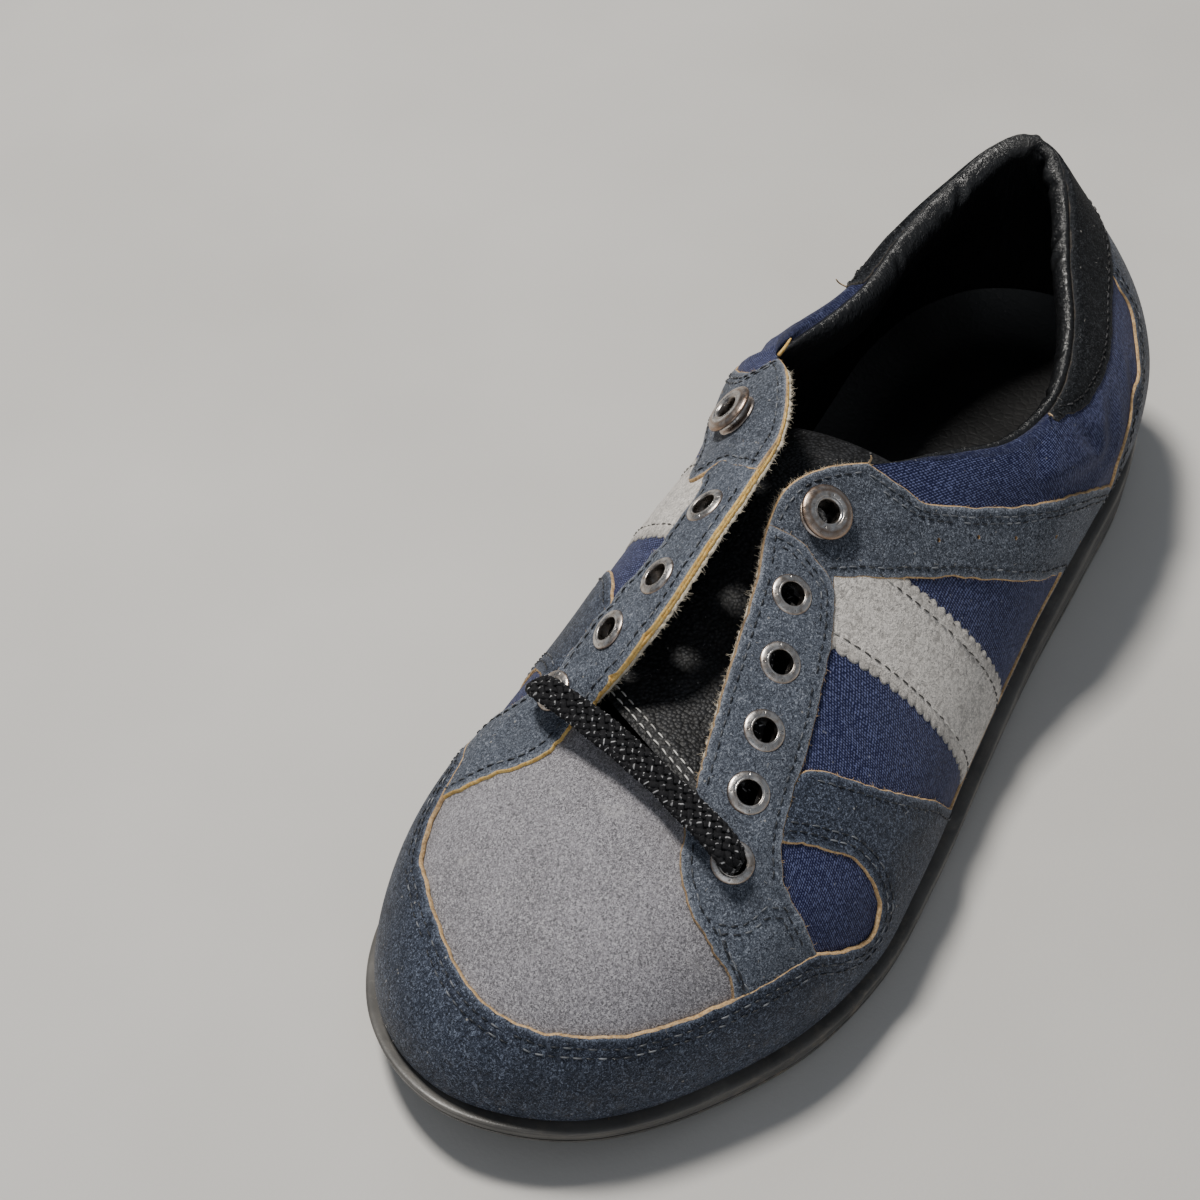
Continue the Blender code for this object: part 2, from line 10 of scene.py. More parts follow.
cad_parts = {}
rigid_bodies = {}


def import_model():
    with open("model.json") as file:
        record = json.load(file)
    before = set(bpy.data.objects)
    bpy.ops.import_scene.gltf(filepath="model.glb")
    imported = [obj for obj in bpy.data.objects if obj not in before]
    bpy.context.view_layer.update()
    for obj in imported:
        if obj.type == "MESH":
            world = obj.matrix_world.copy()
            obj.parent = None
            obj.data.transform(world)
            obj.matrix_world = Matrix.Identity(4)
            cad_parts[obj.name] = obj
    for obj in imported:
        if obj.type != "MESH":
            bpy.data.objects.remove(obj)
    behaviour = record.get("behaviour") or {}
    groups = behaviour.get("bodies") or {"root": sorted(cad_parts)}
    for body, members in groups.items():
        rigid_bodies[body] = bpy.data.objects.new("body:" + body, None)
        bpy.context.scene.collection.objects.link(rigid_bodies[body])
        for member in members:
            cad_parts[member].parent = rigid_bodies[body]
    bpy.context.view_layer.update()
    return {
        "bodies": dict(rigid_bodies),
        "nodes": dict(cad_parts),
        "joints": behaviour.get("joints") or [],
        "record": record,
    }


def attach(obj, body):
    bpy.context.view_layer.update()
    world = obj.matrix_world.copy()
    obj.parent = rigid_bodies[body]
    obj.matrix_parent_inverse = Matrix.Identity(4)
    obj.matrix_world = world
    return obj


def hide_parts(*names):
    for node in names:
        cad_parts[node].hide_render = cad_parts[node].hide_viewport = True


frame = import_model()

# A worn low-cut sneaker for the left foot, standing empty on its sole.  +X runs to the toe, +Y to the
# outer side and +Z up.  Sizes are in millimetres, measured on the last: from the back of the heel, the
# middle line and the floor.  A place on the upper is (along, up), as its own section explains.


# ==================== studio floor, lamps and camera
# The shoe stands on a plain pale floor of rolled studio vinyl.  A large soft lamp lights it from the
# inner side, a wide weak one fills from ahead of the toe, and the room itself is dim and even.
CAMERA_PLACE = (0.3631, 0.1898, 0.4929)
CAMERA_AIM = (0.0196, -0.0474, 0.035)
CAMERA_ROLL = -2.53
CAMERA_LENS = 76.9
FLOOR_REACH = 3.0
KEY_TOWARDS = (-0.1, -0.36, 0.92)
KEY_AWAY = 1.7
KEY_SIZE = 0.3
KEY_POWER = 35.0
FILL_TOWARDS = (0.8, 0.45, 0.4)
FILL_AWAY = 1.8
FILL_SIZE = 1.4
FILL_POWER = 5.0
ROOM_LIGHT = (0.8, 0.86, 0.95)
ROOM_STRENGTH = 0.25
FLOOR_PALE = (0.6, 0.585, 0.56)
FLOOR_SHADE = (0.53, 0.515, 0.49)


def new_finish(name, roughness, specular=0.5, **sockets):
    """Start a material: the nodes made next are its own.  Sockets are inputs, with _ for a space."""
    global tree, shader
    made = bpy.data.materials.new(name)
    made.use_nodes = True
    tree = made.node_tree
    shader = tree.nodes["Principled BSDF"]
    shader.inputs["Roughness"].default_value = roughness
    shader.inputs["Specular IOR Level"].default_value = specular
    for key, value in sockets.items():
        shader.inputs[key.replace("_", " ")].default_value = value
    return made


def add_node(kind, inputs=None, **settings):
    """A node of the material in hand, with its settings, and its inputs as values or sockets to link."""
    made = tree.nodes.new("ShaderNode" + kind)
    for key, value in settings.items():
        setattr(made, key, value)
    for key, value in (inputs or {}).items():
        if isinstance(value, bpy.types.NodeSocket):
            tree.links.new(value, made.inputs[key])
        else:
            made.inputs[key].default_value = value
    return made


def body_place():
    """Where on the shoe a point is, in metres, for grain that runs through a whole piece."""
    return add_node("TexCoord").outputs["Object"]


def point_value(name):
    """A value that the mesh carries at each of its points."""
    return add_node("Attribute", attribute_name=name).outputs["Fac"]


def noise(place, scale, detail=3.0, roughness=0.55, distortion=0.0):
    inputs = {"Vector": place, "Scale": scale, "Detail": detail}
    inputs.update({"Roughness": roughness, "Distortion": distortion})
    return add_node("TexNoise", inputs).outputs["Fac"]


def cells(place, scale, **settings):
    """Distance to the middle (or to the edge) of irregular cells."""
    return add_node("TexVoronoi", {"Vector": place, "Scale": scale}, **settings).outputs["Distance"]


def rgba(colour):
    """A colour with its alpha; a number is a grey."""
    return (*colour, 1.0) if isinstance(colour, tuple) else (colour, colour, colour, 1.0)


def ramp(value, *stops):
    """Colours (or greys) set at rising places of a value."""
    made = add_node("ValToRGB", {"Fac": value})
    points = made.color_ramp.elements
    while len(points) < len(stops):
        points.new(0.5)
    for point, (position, colour) in zip(points, stops):
        point.position = position
        point.color = rgba(colour)
    return made.outputs["Color"]


def patches(low, high, place, *grain):
    """Cloudy patches of a noise: 0 where it is below low, 1 where it is above high."""
    return ramp(noise(place, *grain), (low, 0.0), (high, 1.0))


def mixed(share, first, second):
    """Two colours mixed by a share."""
    first, second = (c if isinstance(c, bpy.types.NodeSocket) else rgba(c) for c in (first, second))
    return add_node("Mix", {0: share, 6: first, 7: second}, data_type="RGBA").outputs[2]


def sum_of(operation, first, second=0.0):
    """A sum, product or other figure of two values."""
    return add_node("Math", {0: first, 1: second}, operation=operation).outputs[0]


def times(first, second):
    return sum_of("MULTIPLY", first, second)


def by_height(place, scale, *stops):
    """A ramp of the height over the floor."""
    return ramp(times(add_node("SeparateXYZ", {"Vector": place}).outputs["Z"], scale), *stops)


def raised(height, millimetres, normal=None):
    """The surface's lean where a height from 0 to 1 stands out by so many millimetres."""
    inputs = {"Height": height, "Distance": millimetres / 1000}
    if normal is not None:
        inputs["Normal"] = normal
    return add_node("Bump", inputs).outputs["Normal"]


def use(**links):
    """Link what was worked out into the inputs of the material in hand."""
    for key, socket in links.items():
        tree.links.new(socket, shader.inputs[key.replace("_", " ")])


floor_mesh = bpy.data.meshes.new("studio_floor")
floor_corners = [(x * FLOOR_REACH, y * FLOOR_REACH, 0.0) for x, y in ((-1, -1), (1, -1), (1, 1), (-1, 1))]
floor_mesh.from_pydata(floor_corners, [], [(0, 1, 2, 3)])
studio_floor = bpy.data.objects.new("studio_floor", floor_mesh)
bpy.context.scene.collection.objects.link(studio_floor)
vinyl = new_finish("pale_vinyl", 0.62, 0.3)
place = body_place()
cloudy = noise(place, 5.0, 4.0)
use(Base_Color=ramp(cloudy, (0.35, FLOOR_SHADE), (0.65, FLOOR_PALE)))
use(Normal=raised(noise(place, 900.0, 2.0), 0.05))
floor_mesh.materials.append(vinyl)


def add_lamp(name, towards, away, size, power, colour):
    """A square soft lamp that shines back at the shoe from a direction."""
    light = bpy.data.lights.new(name, "AREA")
    light.size = size
    light.energy = power
    light.color = colour
    lamp = bpy.data.objects.new(name, light)
    direction = Vector(towards).normalized()
    lamp.location = direction * away
    lamp.rotation_mode = "QUATERNION"
    lamp.rotation_quaternion = direction.to_track_quat("Z", "Y")
    bpy.context.scene.collection.objects.link(lamp)


add_lamp("key_lamp", KEY_TOWARDS, KEY_AWAY, KEY_SIZE, KEY_POWER, (1.0, 0.965, 0.91))
add_lamp("fill_lamp", FILL_TOWARDS, FILL_AWAY, FILL_SIZE, FILL_POWER, (0.92, 0.96, 1.0))
room = bpy.data.worlds.new("studio_room")
room.use_nodes = True
room.node_tree.nodes["Background"].inputs["Color"].default_value = (*ROOM_LIGHT, 1.0)
room.node_tree.nodes["Background"].inputs["Strength"].default_value = ROOM_STRENGTH
bpy.context.scene.world = room

lens = bpy.data.cameras.new("camera")
lens.lens = CAMERA_LENS
lens.clip_start = 0.02
camera = bpy.data.objects.new("camera", lens)
camera.location = CAMERA_PLACE
camera.rotation_mode = "QUATERNION"
gaze = (Vector(CAMERA_AIM) - Vector(CAMERA_PLACE)).to_track_quat("-Z", "Y")
camera.rotation_quaternion = gaze @ Quaternion((0, 0, 1), math.radians(CAMERA_ROLL))
bpy.context.scene.collection.objects.link(camera)
bpy.context.scene.camera = camera


# ==================== outsole
# One moulded cup of grey rubber, thin at the toe and 15 mm deep at the heel, cemented to the upper.
# Its side has a bead at the top and a parting groove low down; the tread has plain cross grooves.
MM = 0.001
LAST_ORIGIN = np.array([143.9, -0.3, 0.0])    # of the frame, on the last
SOLE_COLUMNS = 360
GROOVE_WIDTH = 2.2
GROOVE_DEPTH = 1.6
GROOVES = np.concatenate([np.linspace(26, 86, 5), np.linspace(184, 240, 8)])    # at the heel and the ball
TREAD_RIM = 2.6               # flat margin outside the grooves
RUBBER_DARK = (0.052, 0.05, 0.047)
RUBBER_PALE = (0.115, 0.11, 0.102)
FLOOR_DUST = (0.24, 0.2, 0.155)


def table(names, *rows):
    """A table with one section in each row, as one array for each named column."""
    return dict(zip(names.split(), np.array(rows, dtype=float).T))


# Outline of the sole, seen from above.
SOLE_EDGE = table(
    "x inner outer",
    (-1, -4, -4), (1.5, -17, 10), (7, -27.5, 20.5), (18, -36.5, 29),
    (38, -42.5, 35.5), (68, -43, 39), (103, -40.5, 42), (140, -41, 47),
    (175, -47, 52), (204, -53, 54), (230, -54.5, 49.5), (251, -51.5, 40.5),
    (267, -44.5, 31), (279, -34.5, 20.5), (286.5, -23, 8), (290, -8, -8),
)

# Heights along the sole: its top, where the upper sits, and its underside (heel, arch, toe spring).
SOLE_TOP = table(
    "x z",
    (0, 15.5), (40, 15), (95, 12.5), (150, 9), (200, 7.5), (235, 8), (265, 11), (290, 16.5),
)
SOLE_BOTTOM = table(
    "x z",
    (0, 1.2), (12, 0.2), (24, 0), (95, 0), (130, 1.2), (160, 0.9), (182, 0), (226, 0),
    (240, 0.9), (262, 4.2), (290, 11),
)

# Side of the sole from the tread to the top: height as a share of the wall, and inset.
SIDEWALL = table(
    "height inset",
    (0, 2.2), (0.03, 1.55), (0.08, 1.05), (0.16, 0.72), (0.27, 0.5), (0.31, 0.55), (0.335, 1.05),
    (0.36, 1.25), (0.385, 1.05), (0.41, 0.45), (0.45, 0.28), (0.6, 0.12), (0.76, 0.1), (0.79, 0.22),
    (0.81, 0.3), (0.83, 0.1), (0.87, -0.12), (0.92, -0.1), (0.96, 0.15), (0.985, 0.6), (1, 1.3),
    (1, 6),
)


def smooth(places, values, wanted, around=None):
    """Smooth curve through the values, with an even bend at each; closed when around is its length."""
    wanted = np.asarray(wanted, dtype=float)
    if around:
        places = np.concatenate([places[-2:] - around, places, places[:2] + around])
        values = np.concatenate([values[-2:], values, values[:2]])
        wanted = np.mod(wanted - places[2], around) + places[2]
    else:
        places = np.concatenate([[2 * places[0] - places[1]], places, [2 * places[-1] - places[-2]]])
        values = np.concatenate([[2 * values[0] - values[1]], values, [2 * values[-1] - values[-2]]])
    gap = np.diff(places)
    slope = np.diff(values) / gap
    lean = (slope[:-1] * gap[1:] + slope[1:] * gap[:-1]) / (gap[:-1] + gap[1:])
    i = np.clip(np.searchsorted(places, wanted, side="right") - 1, 1, len(places) - 3)
    t = (wanted - places[i]) / gap[i]
    start = (1 + 2 * t) * (1 - t) ** 2 * values[i] + t * (1 - t) ** 2 * gap[i] * lean[i - 1]
    return start + t * t * (3 - 2 * t) * values[i + 1] + t * t * (t - 1) * gap[i] * lean[i]


def points_from(chart, key, names, wanted, around=None):
    """Several columns of a table at once, as points."""
    return np.stack([smooth(chart[key], chart[n], wanted, around) for n in names.split()], -1)


def soft_step(value, low, high):
    """0 below low, 1 above high, and an even S between."""
    t = np.clip((np.asarray(value, float) - low) / (high - low), 0, 1)
    return t * t * (3 - 2 * t)


def sole_top(x):
    return smooth(SOLE_TOP["x"], SOLE_TOP["z"], x)


def sole_bottom(x):
    return np.maximum(smooth(SOLE_BOTTOM["x"], SOLE_BOTTOM["z"], x), 0.0)


def lengths_along(points):
    """Distance walked to each point of a line."""
    steps = np.linalg.norm(np.diff(points, axis=0), axis=1)
    return np.concatenate([[0.0], np.cumsum(steps)])


def unit(vectors):
    """The vectors at a length of 1."""
    return vectors / np.maximum(np.linalg.norm(vectors, axis=-1, keepdims=True), 1e-9)


def sole_loop(count=720):
    """Evenly spaced points round the sole: toe, outer side, heel, inner side."""
    outer = np.stack([SOLE_EDGE["x"], SOLE_EDGE["outer"]], -1)[::-1]
    inner = np.stack([SOLE_EDGE["x"], SOLE_EDGE["inner"]], -1)[1:-1]
    corners = np.concatenate([outer, inner])
    walked = lengths_along(np.concatenate([corners, corners[:1]]))
    steps = np.linspace(0, walked[-1], count + 1)
    rough = np.stack([smooth(walked[:-1], corners[:, k], steps, walked[-1]) for k in (0, 1)], -1)
    walked = lengths_along(rough)
    even = np.linspace(0, walked[-1], count + 1)[:-1]
    return np.stack([np.interp(even, walked, rough[:, k]) for k in (0, 1)], -1)


SOLE_LOOP = sole_loop()
NORMAL_REACH = 3       # points of the loop on each side that give its direction


def edge(along, inset=0.0):
    """Points on the sole's outline, drawn in by inset, and the directions out of it."""
    count = len(SOLE_LOOP)
    place = np.mod(np.asarray(along, dtype=float), 1.0) * count
    i = np.floor(place).astype(int) % count
    part = (place - np.floor(place))[..., None]
    point = SOLE_LOOP[i] * (1 - part) + SOLE_LOOP[(i + 1) % count] * part
    ahead = SOLE_LOOP[(i + 1 + NORMAL_REACH) % count] - SOLE_LOOP[(i - NORMAL_REACH) % count]
    ahead = unit(ahead)
    out = np.stack([ahead[..., 1], -ahead[..., 0]], -1)
    return point - inset * out, out


def to_place(points):
    """Points of the last as places in the frame, in metres."""
    return (np.asarray(points, float) - LAST_ORIGIN) * MM


def add_piece(name, points, faces, finishes, face_finish=None, flat=None, values=None, sharp=None):
    """A mesh piece that rides on the shoe; flat lays it out in metres, values are per point."""
    mesh = bpy.data.meshes.new(name)
    mesh.from_pydata(to_place(points).tolist(), [], [tuple(map(int, face)) for face in faces])
    for finish in finishes:
        mesh.materials.append(finish)
    if face_finish is not None:
        mesh.polygons.foreach_set("material_index", np.asarray(face_finish, dtype=np.int32))
    for key, value in (values or {}).items():
        mesh.attributes.new(key, "FLOAT", "POINT").data.foreach_set("value", np.asarray(value, np.float32))
    if flat is not None:
        corner = np.zeros(len(mesh.loops), dtype=np.int32)
        mesh.loops.foreach_get("vertex_index", corner)
        layer = mesh.uv_layers.new(name="cut")
        layer.uv.foreach_set("vector", np.asarray(flat, np.float32)[corner].ravel())
    mesh.shade_smooth()
    if sharp:
        mesh.set_sharp_from_angle(angle=math.radians(sharp))
    piece = bpy.data.objects.new(name, mesh)
    bpy.context.scene.collection.objects.link(piece)
    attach(piece, "root")
    return piece


def ring_faces(rows, columns, around=True):
    """Faces between rows of points, each row of so many columns."""
    last = columns if around else columns - 1
    i, j = np.meshgrid(np.arange(rows - 1), np.arange(last), indexing="ij")
    k = (j + 1) % columns
    faces = np.stack([i * columns + j, i * columns + k, (i + 1) * columns + k, (i + 1) * columns + j], -1)
    return faces.reshape(-1, 4)


def inside_line(places, line):
    """Which places lie inside a closed line."""
    x, y = places[:, 0:1], places[:, 1:2]
    x1, y1 = line[:, 0][None], line[:, 1][None]
    x2, y2 = np.roll(line, -1, axis=0).T[:, None]
    crosses = (y1 > y) != (y2 > y)
    rise = np.where(y2 == y1, 1e-9, y2 - y1)
    return (crosses & (x < (x2 - x1) * (y - y1) / rise + x1)).sum(1) % 2 == 1


def nearest_on(line, places):
    """Distance from each place to the nearest point of a line, both flat or both in space."""
    missing = ((0, 0), (0, 3 - line.shape[1]))
    tree = KDTree(len(line))
    for i, spot in enumerate(np.pad(line, missing)):
        tree.insert(spot, i)
    tree.balance()
    return np.array([tree.find(spot)[2] for spot in np.pad(places, missing)])


def filled(line, within, holes=()):
    """Triangles inside a closed flat line, less its holes, through the places within it as well.

    Where the line crosses itself the crossing becomes one more place, after the others.
    """
    spots = np.concatenate([line, *holes, within])
    loops = [list(range(len(line)))]
    start = len(line)
    for hole in holes:
        loops.append(list(range(start, start + len(hole))))
        start += len(hole)
    found, _, faces, came_from, _, _ = delaunay_2d_cdt([Vector(s) for s in spots], [], loops, 1, 1e-6)
    crossings = [k for k, origin in enumerate(came_from) if not origin]
    number = [origin[0] if origin else len(spots) + crossings.index(k) for k, origin in enumerate(came_from)]
    spots = np.concatenate([spots, np.array([found[k] for k in crossings]).reshape(-1, 2)])
    triangles = np.array([[number[i] for i in face] for face in faces])
    middle = spots[triangles].mean(1)
    for hole in holes:
        inside = inside_line(middle, hole)
        triangles, middle = triangles[~inside], middle[~inside]
    return spots, triangles


def groove_depth(spots):
    """How far the tread is cut away at each place under the sole."""
    depth = np.zeros(len(spots))
    for x in GROOVES:
        wall_up = soft_step(np.abs(spots[:, 0] - x), 0.35 * GROOVE_WIDTH, 0.55 * GROOVE_WIDTH)
        depth = np.maximum(depth, GROOVE_DEPTH * (1 - wall_up))
    return depth


along = np.arange(SOLE_COLUMNS) / SOLE_COLUMNS
rings = []
for share, inset in zip(SIDEWALL["height"], SIDEWALL["inset"]):
    spots, _ = edge(along, inset)
    low, high = sole_bottom(spots[:, 0]), sole_top(spots[:, 0])
    rings.append(np.column_stack([spots, low + share * (high - low)]))
side_faces = ring_faces(len(rings), SOLE_COLUMNS)
side_points = np.concatenate(rings)

rim_line, _ = edge(along, SIDEWALL["inset"][0])
cut_lines = np.concatenate([x + np.array([-1.2, -0.8, 0.0, 0.8, 1.2]) for x in GROOVES])
plain_lines = [x for x in np.arange(4.0, 288.0, 4.0) if np.abs(cut_lines - x).min() > 1.5]
grid = np.array([(x, y) for x in (*cut_lines, *plain_lines) for y in np.arange(-54.0, 54.0, 4.0)])
grid = grid[inside_line(grid, rim_line)]
grid = grid[nearest_on(rim_line, grid) > TREAD_RIM / 2]
tread_spots, tread_faces = filled(rim_line, grid)
tread_cut = groove_depth(tread_spots) * soft_step(nearest_on(rim_line, tread_spots), TREAD_RIM / 2, TREAD_RIM)
tread_points = np.column_stack([tread_spots, sole_bottom(tread_spots[:, 0]) + tread_cut])

bed_line = rings[-1][:, :2]
bed_grid = np.array([(x, y) for x in np.arange(8.0, 284.0, 8.0) for y in np.arange(-48.0, 50.0, 8.0)])
bed_grid = bed_grid[inside_line(bed_grid, bed_line)]
bed_grid = bed_grid[nearest_on(bed_line, bed_grid) > 3.0]
bed_spots, bed_faces = filled(bed_line, bed_grid)
bed_points = np.column_stack([bed_spots, sole_top(bed_spots[:, 0])])

# The tread and the bed share their outer points with the side.
tread_number = np.arange(len(tread_spots)) + len(side_points) - SOLE_COLUMNS
tread_number[:SOLE_COLUMNS] = np.arange(SOLE_COLUMNS)
bed_number = np.arange(len(bed_spots)) + len(side_points) + len(grid) - SOLE_COLUMNS
bed_number[:SOLE_COLUMNS] = np.arange(SOLE_COLUMNS) + (len(rings) - 1) * SOLE_COLUMNS
sole_points = np.concatenate([side_points, tread_points[SOLE_COLUMNS:], bed_points[SOLE_COLUMNS:]])
sole_faces = [
    *side_faces,
    *tread_number[tread_faces[:, ::-1]],
    *bed_number[bed_faces],
]

rubber = new_finish("sole_rubber_moulded", 0.42, 0.5)
place = body_place()
cloud = noise(place, 55.0, 4.0)
tone = ramp(cloud, (0.3, RUBBER_DARK), (0.72, RUBBER_PALE))
scuffs = add_node("Mapping", {"Vector": place, "Scale": (60.0, 60.0, 900.0)}).outputs["Vector"]
scuffed = patches(0.58, 0.7, scuffs, 1.0, 4.0, 0.65)
tone = mixed(times(scuffed, 0.35), tone, (0.2, 0.19, 0.175))
dusty = patches(0.5, 0.66, place, 260.0, 5.0, 0.7)
low_down = by_height(place, 70.0, (0.1, 1.0), (0.62, 0.12))
tone = mixed(times(dusty, low_down), tone, FLOOR_DUST)
gloss = ramp(noise(place, 120.0, 3.0), (0.3, 0.3), (0.7, 0.52))
grain = raised(noise(place, 2400.0, 2.0), 0.05)
grain = raised(noise(scuffs, 1.0, 4.0, 0.65), 0.1, grain)
use(Base_Color=tone, Roughness=gloss, Normal=grain)
outsole = add_piece("outsole_moulded", sole_points, sole_faces, [rubber], sharp=50)
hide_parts("outsole")


# ==================== lining and collar roll
# One skin of thin glossy black lining leather, cemented inside the upper.  Round the foot's opening
# it is rolled over the collar foam to a seam on top; along the throat it is cut off level.
# A place on the upper is (along, up).  Along runs once round the sole's edge, from the tip of the toe
# down the outer side to the heel (0.5) and back up the inner side.  Up runs from the sole (0) to the
# top (1), over the rim (2) and down the inside to the sole (3).
CHART_WIDE = 720.0             # mm that one turn along, and one step up, about measure
CHART_HIGH = 78.0
FIT_GAP = 0.3
WALL = 1.9
WELT_INSET = 3.0
FOAM_FROM = 0.4
FOAM_TO = 0.8
LINING_COLUMNS = 600
LINING_ROWS = 56
LINING_END = 2.94
LINING_FLAT = (0.72, 0.045)    # metres that the lining measures laid flat, round and up
RIPPLE_LENGTH = 2.3
RIPPLE_DEEP = 0.06
HOLE_RADIUS = 3.6
LINING_BLACK = (0.0065, 0.0068, 0.0075)
LINING_WORN = (0.02, 0.02, 0.021)

# Top edge of the upper: front of the throat, outer facing, collar, heel, collar, inner facing.
TOPLINE = table(
    "along x y z",
    (0, 214, -3, 58.5),
    (0.07, 216, 5, 58),
    (0.115, 219, 11, 57.5),
    (0.15, 210, 9.5, 63),
    (0.18, 197, 6, 68),
    (0.205, 185, 3, 72),
    (0.23, 170, -1, 76.5),
    (0.25, 159, -5, 80),
    (0.265, 149, -6, 83),
    (0.28, 139, -2, 83),
    (0.295, 129, 5, 80),
    (0.315, 113, 15, 74),
    (0.335, 98, 24, 69.5),
    (0.36, 80, 27.5, 67),
    (0.385, 65, 25.5, 67.5),
    (0.405, 51, 20, 70),
    (0.43, 35.5, 10.5, 75),
    (0.46, 18.5, 1, 81),
    (0.49, 9.5, -7, 84.5),
    (0.515, 9, -14.5, 86.5),
    (0.54, 14.5, -22, 84.5),
    (0.565, 28, -28, 79),
    (0.6, 46, -32.5, 74),
    (0.64, 66, -34, 70.5),
    (0.675, 92, -36, 73),
    (0.695, 106, -32, 79),
    (0.715, 120.5, -21.5, 87.5),
    (0.735, 140, -12, 90),
    (0.755, 158.5, -9, 91),
    (0.78, 176.5, -8.5, 88.5),
    (0.81, 193, -9.5, 82),
    (0.84, 203, -13.5, 72),
    (0.88, 209.5, -18, 61),
    (0.93, 211, -11.5, 59),
)

# Sections of the upper: how it leaves the sole and how it comes into the topline.
SECTIONS = table(
    "along low_out low_up high_out high_down",
    (0, 2, 22, 38, 9),
    (0.05, 2, 22, 38, 9),
    (0.1, 4, 22, 34, 9),
    (0.15, 8, 24, 27, 10),
    (0.2, 9, 24, 28, 13),
    (0.25, 6, 24, 30, 14),
    (0.3, 8, 25, 20, 18),
    (0.35, 7, 26, 14, 16),
    (0.4, 10, 27, 17, 16),
    (0.45, 11, 27, 16, 18),
    (0.5, 9, 27, 9, 22),
    (0.55, 6, 26, 6, 22),
    (0.6, 6, 26, 6, 20),
    (0.65, 6, 26, 6, 18),
    (0.7, 9, 26, 26, 13),
    (0.75, 15, 31, 32, 16),
    (0.8, 13, 29, 28, 15),
    (0.85, 7, 24, 24, 12),
    (0.92, 2, 22, 34, 9),
)

# Foam in the collar, on top of the wall; it fades in between two heights up the side.
COLLAR_FOAM = table(
    "along thick",
    (0, 0), (0.26, 0), (0.29, 0), (0.34, 5.6), (0.4, 6.2), (0.45, 5), (0.5, 3.4), (0.55, 5),
    (0.6, 6.2), (0.66, 5.6), (0.71, 0), (0.75, 0),
)

# Where the lining's outer edge lies: the cut edge along the throat (1), the seam on the collar.
LINING_SEAM = table(
    "along up",
    (0, 1), (0.272, 1), (0.286, 1.02), (0.3, 1.3), (0.32, 1.36), (0.38, 1.26), (0.44, 1.15),
    (0.5, 1.1), (0.56, 1.15), (0.62, 1.28), (0.67, 1.36), (0.69, 1.3), (0.706, 1.02), (0.72, 1),
)

# Folds of the roll and of the lining at the heel.
LINING_FOLDS = table(
    "along_1 up_1 along_2 up_2 bow depth width",
    (0.497, 1.2, 0.494, 2.62, 0, 2.3, 1.7),
    (0.486, 1.3, 0.48, 2.3, 0.02, 0.9, 1.5),
    (0.509, 1.25, 0.515, 2.2, -0.02, 0.8, 1.8),
    (0.443, 1.26, 0.433, 2.05, 0.03, 0.75, 1),
    (0.437, 1.24, 0.426, 1.98, -0.03, 0.7, 0.9),
    (0.462, 1.22, 0.47, 2.1, 0.02, 0.65, 1),
    (0.56, 1.25, 0.572, 2.15, 0.02, 0.75, 1.2),
    (0.585, 1.28, 0.574, 2.25, -0.02, 0.7, 1.3),
    (0.612, 1.32, 0.622, 2.1, 0.03, 0.6, 1.1),
    (0.395, 1.32, 0.388, 2.1, 0.02, 0.55, 1),
    (0.372, 1.36, 0.379, 2, 0.02, 0.5, 0.9),
    (0.35, 1.4, 0.345, 2.1, 0.02, 0.5, 1.1),
)


def outer_handles(along):
    """The four handles of the section at each place along the sole."""
    foot, out = edge(along, WELT_INSET)
    foot = np.concatenate([foot, sole_top(foot[..., :1]) + FIT_GAP], -1)
    out = np.concatenate([out, np.zeros_like(out[..., :1])], -1)
    top = points_from(TOPLINE, "along", "x y z", along, 1.0)
    reach = points_from(SECTIONS, "along", "low_out low_up high_out high_down", along, 1.0)
    rise = np.array([0.0, 0.0, 1.0])
    low = foot + out * reach[..., 0:1] + rise * reach[..., 1:2]
    high = top + out * reach[..., 2:3] - rise * reach[..., 3:4]
    return foot, low, high, top


def outside(along, up):
    """Point on the outside of the upper."""
    along, up = np.broadcast_arrays(np.asarray(along, float), np.asarray(up, float))
    foot, low, high, top = outer_handles(along)
    up = up[..., None]
    down = 1 - up
    return down**3 * foot + 3 * up * down**2 * low + 3 * up**2 * down * high + up**3 * top


def out_of(along, up):
    """Direction straight out of the outside."""
    step = 1e-3
    low = np.clip(np.asarray(up, float) - step, 0, 1)
    high = np.clip(np.asarray(up, float) + step, 0, 1)
    forward = outside(along + step, up) - outside(along - step, up)
    upward = outside(along, high) - outside(along, low)
    normal = np.cross(forward, upward)
    return unit(normal)


def foam(along):
    return smooth(COLLAR_FOAM["along"], COLLAR_FOAM["thick"], along, 1.0)


def collar_seam(along):
    """How far up the lining's outer edge lies."""
    return smooth(LINING_SEAM["along"], LINING_SEAM["up"], along, 1.0)


def wall(along, up):
    """Thickness of the upper: one skin, and foam in the collar."""
    return WALL + np.maximum(foam(along), 0) * soft_step(up, FOAM_FROM, FOAM_TO)


def inside(along, up, clear=0.0):
    """Point on the inside of the upper, or clear of it by a gap."""
    return outside(along, up) - out_of(along, up) * (wall(along, up) + clear)[..., None]


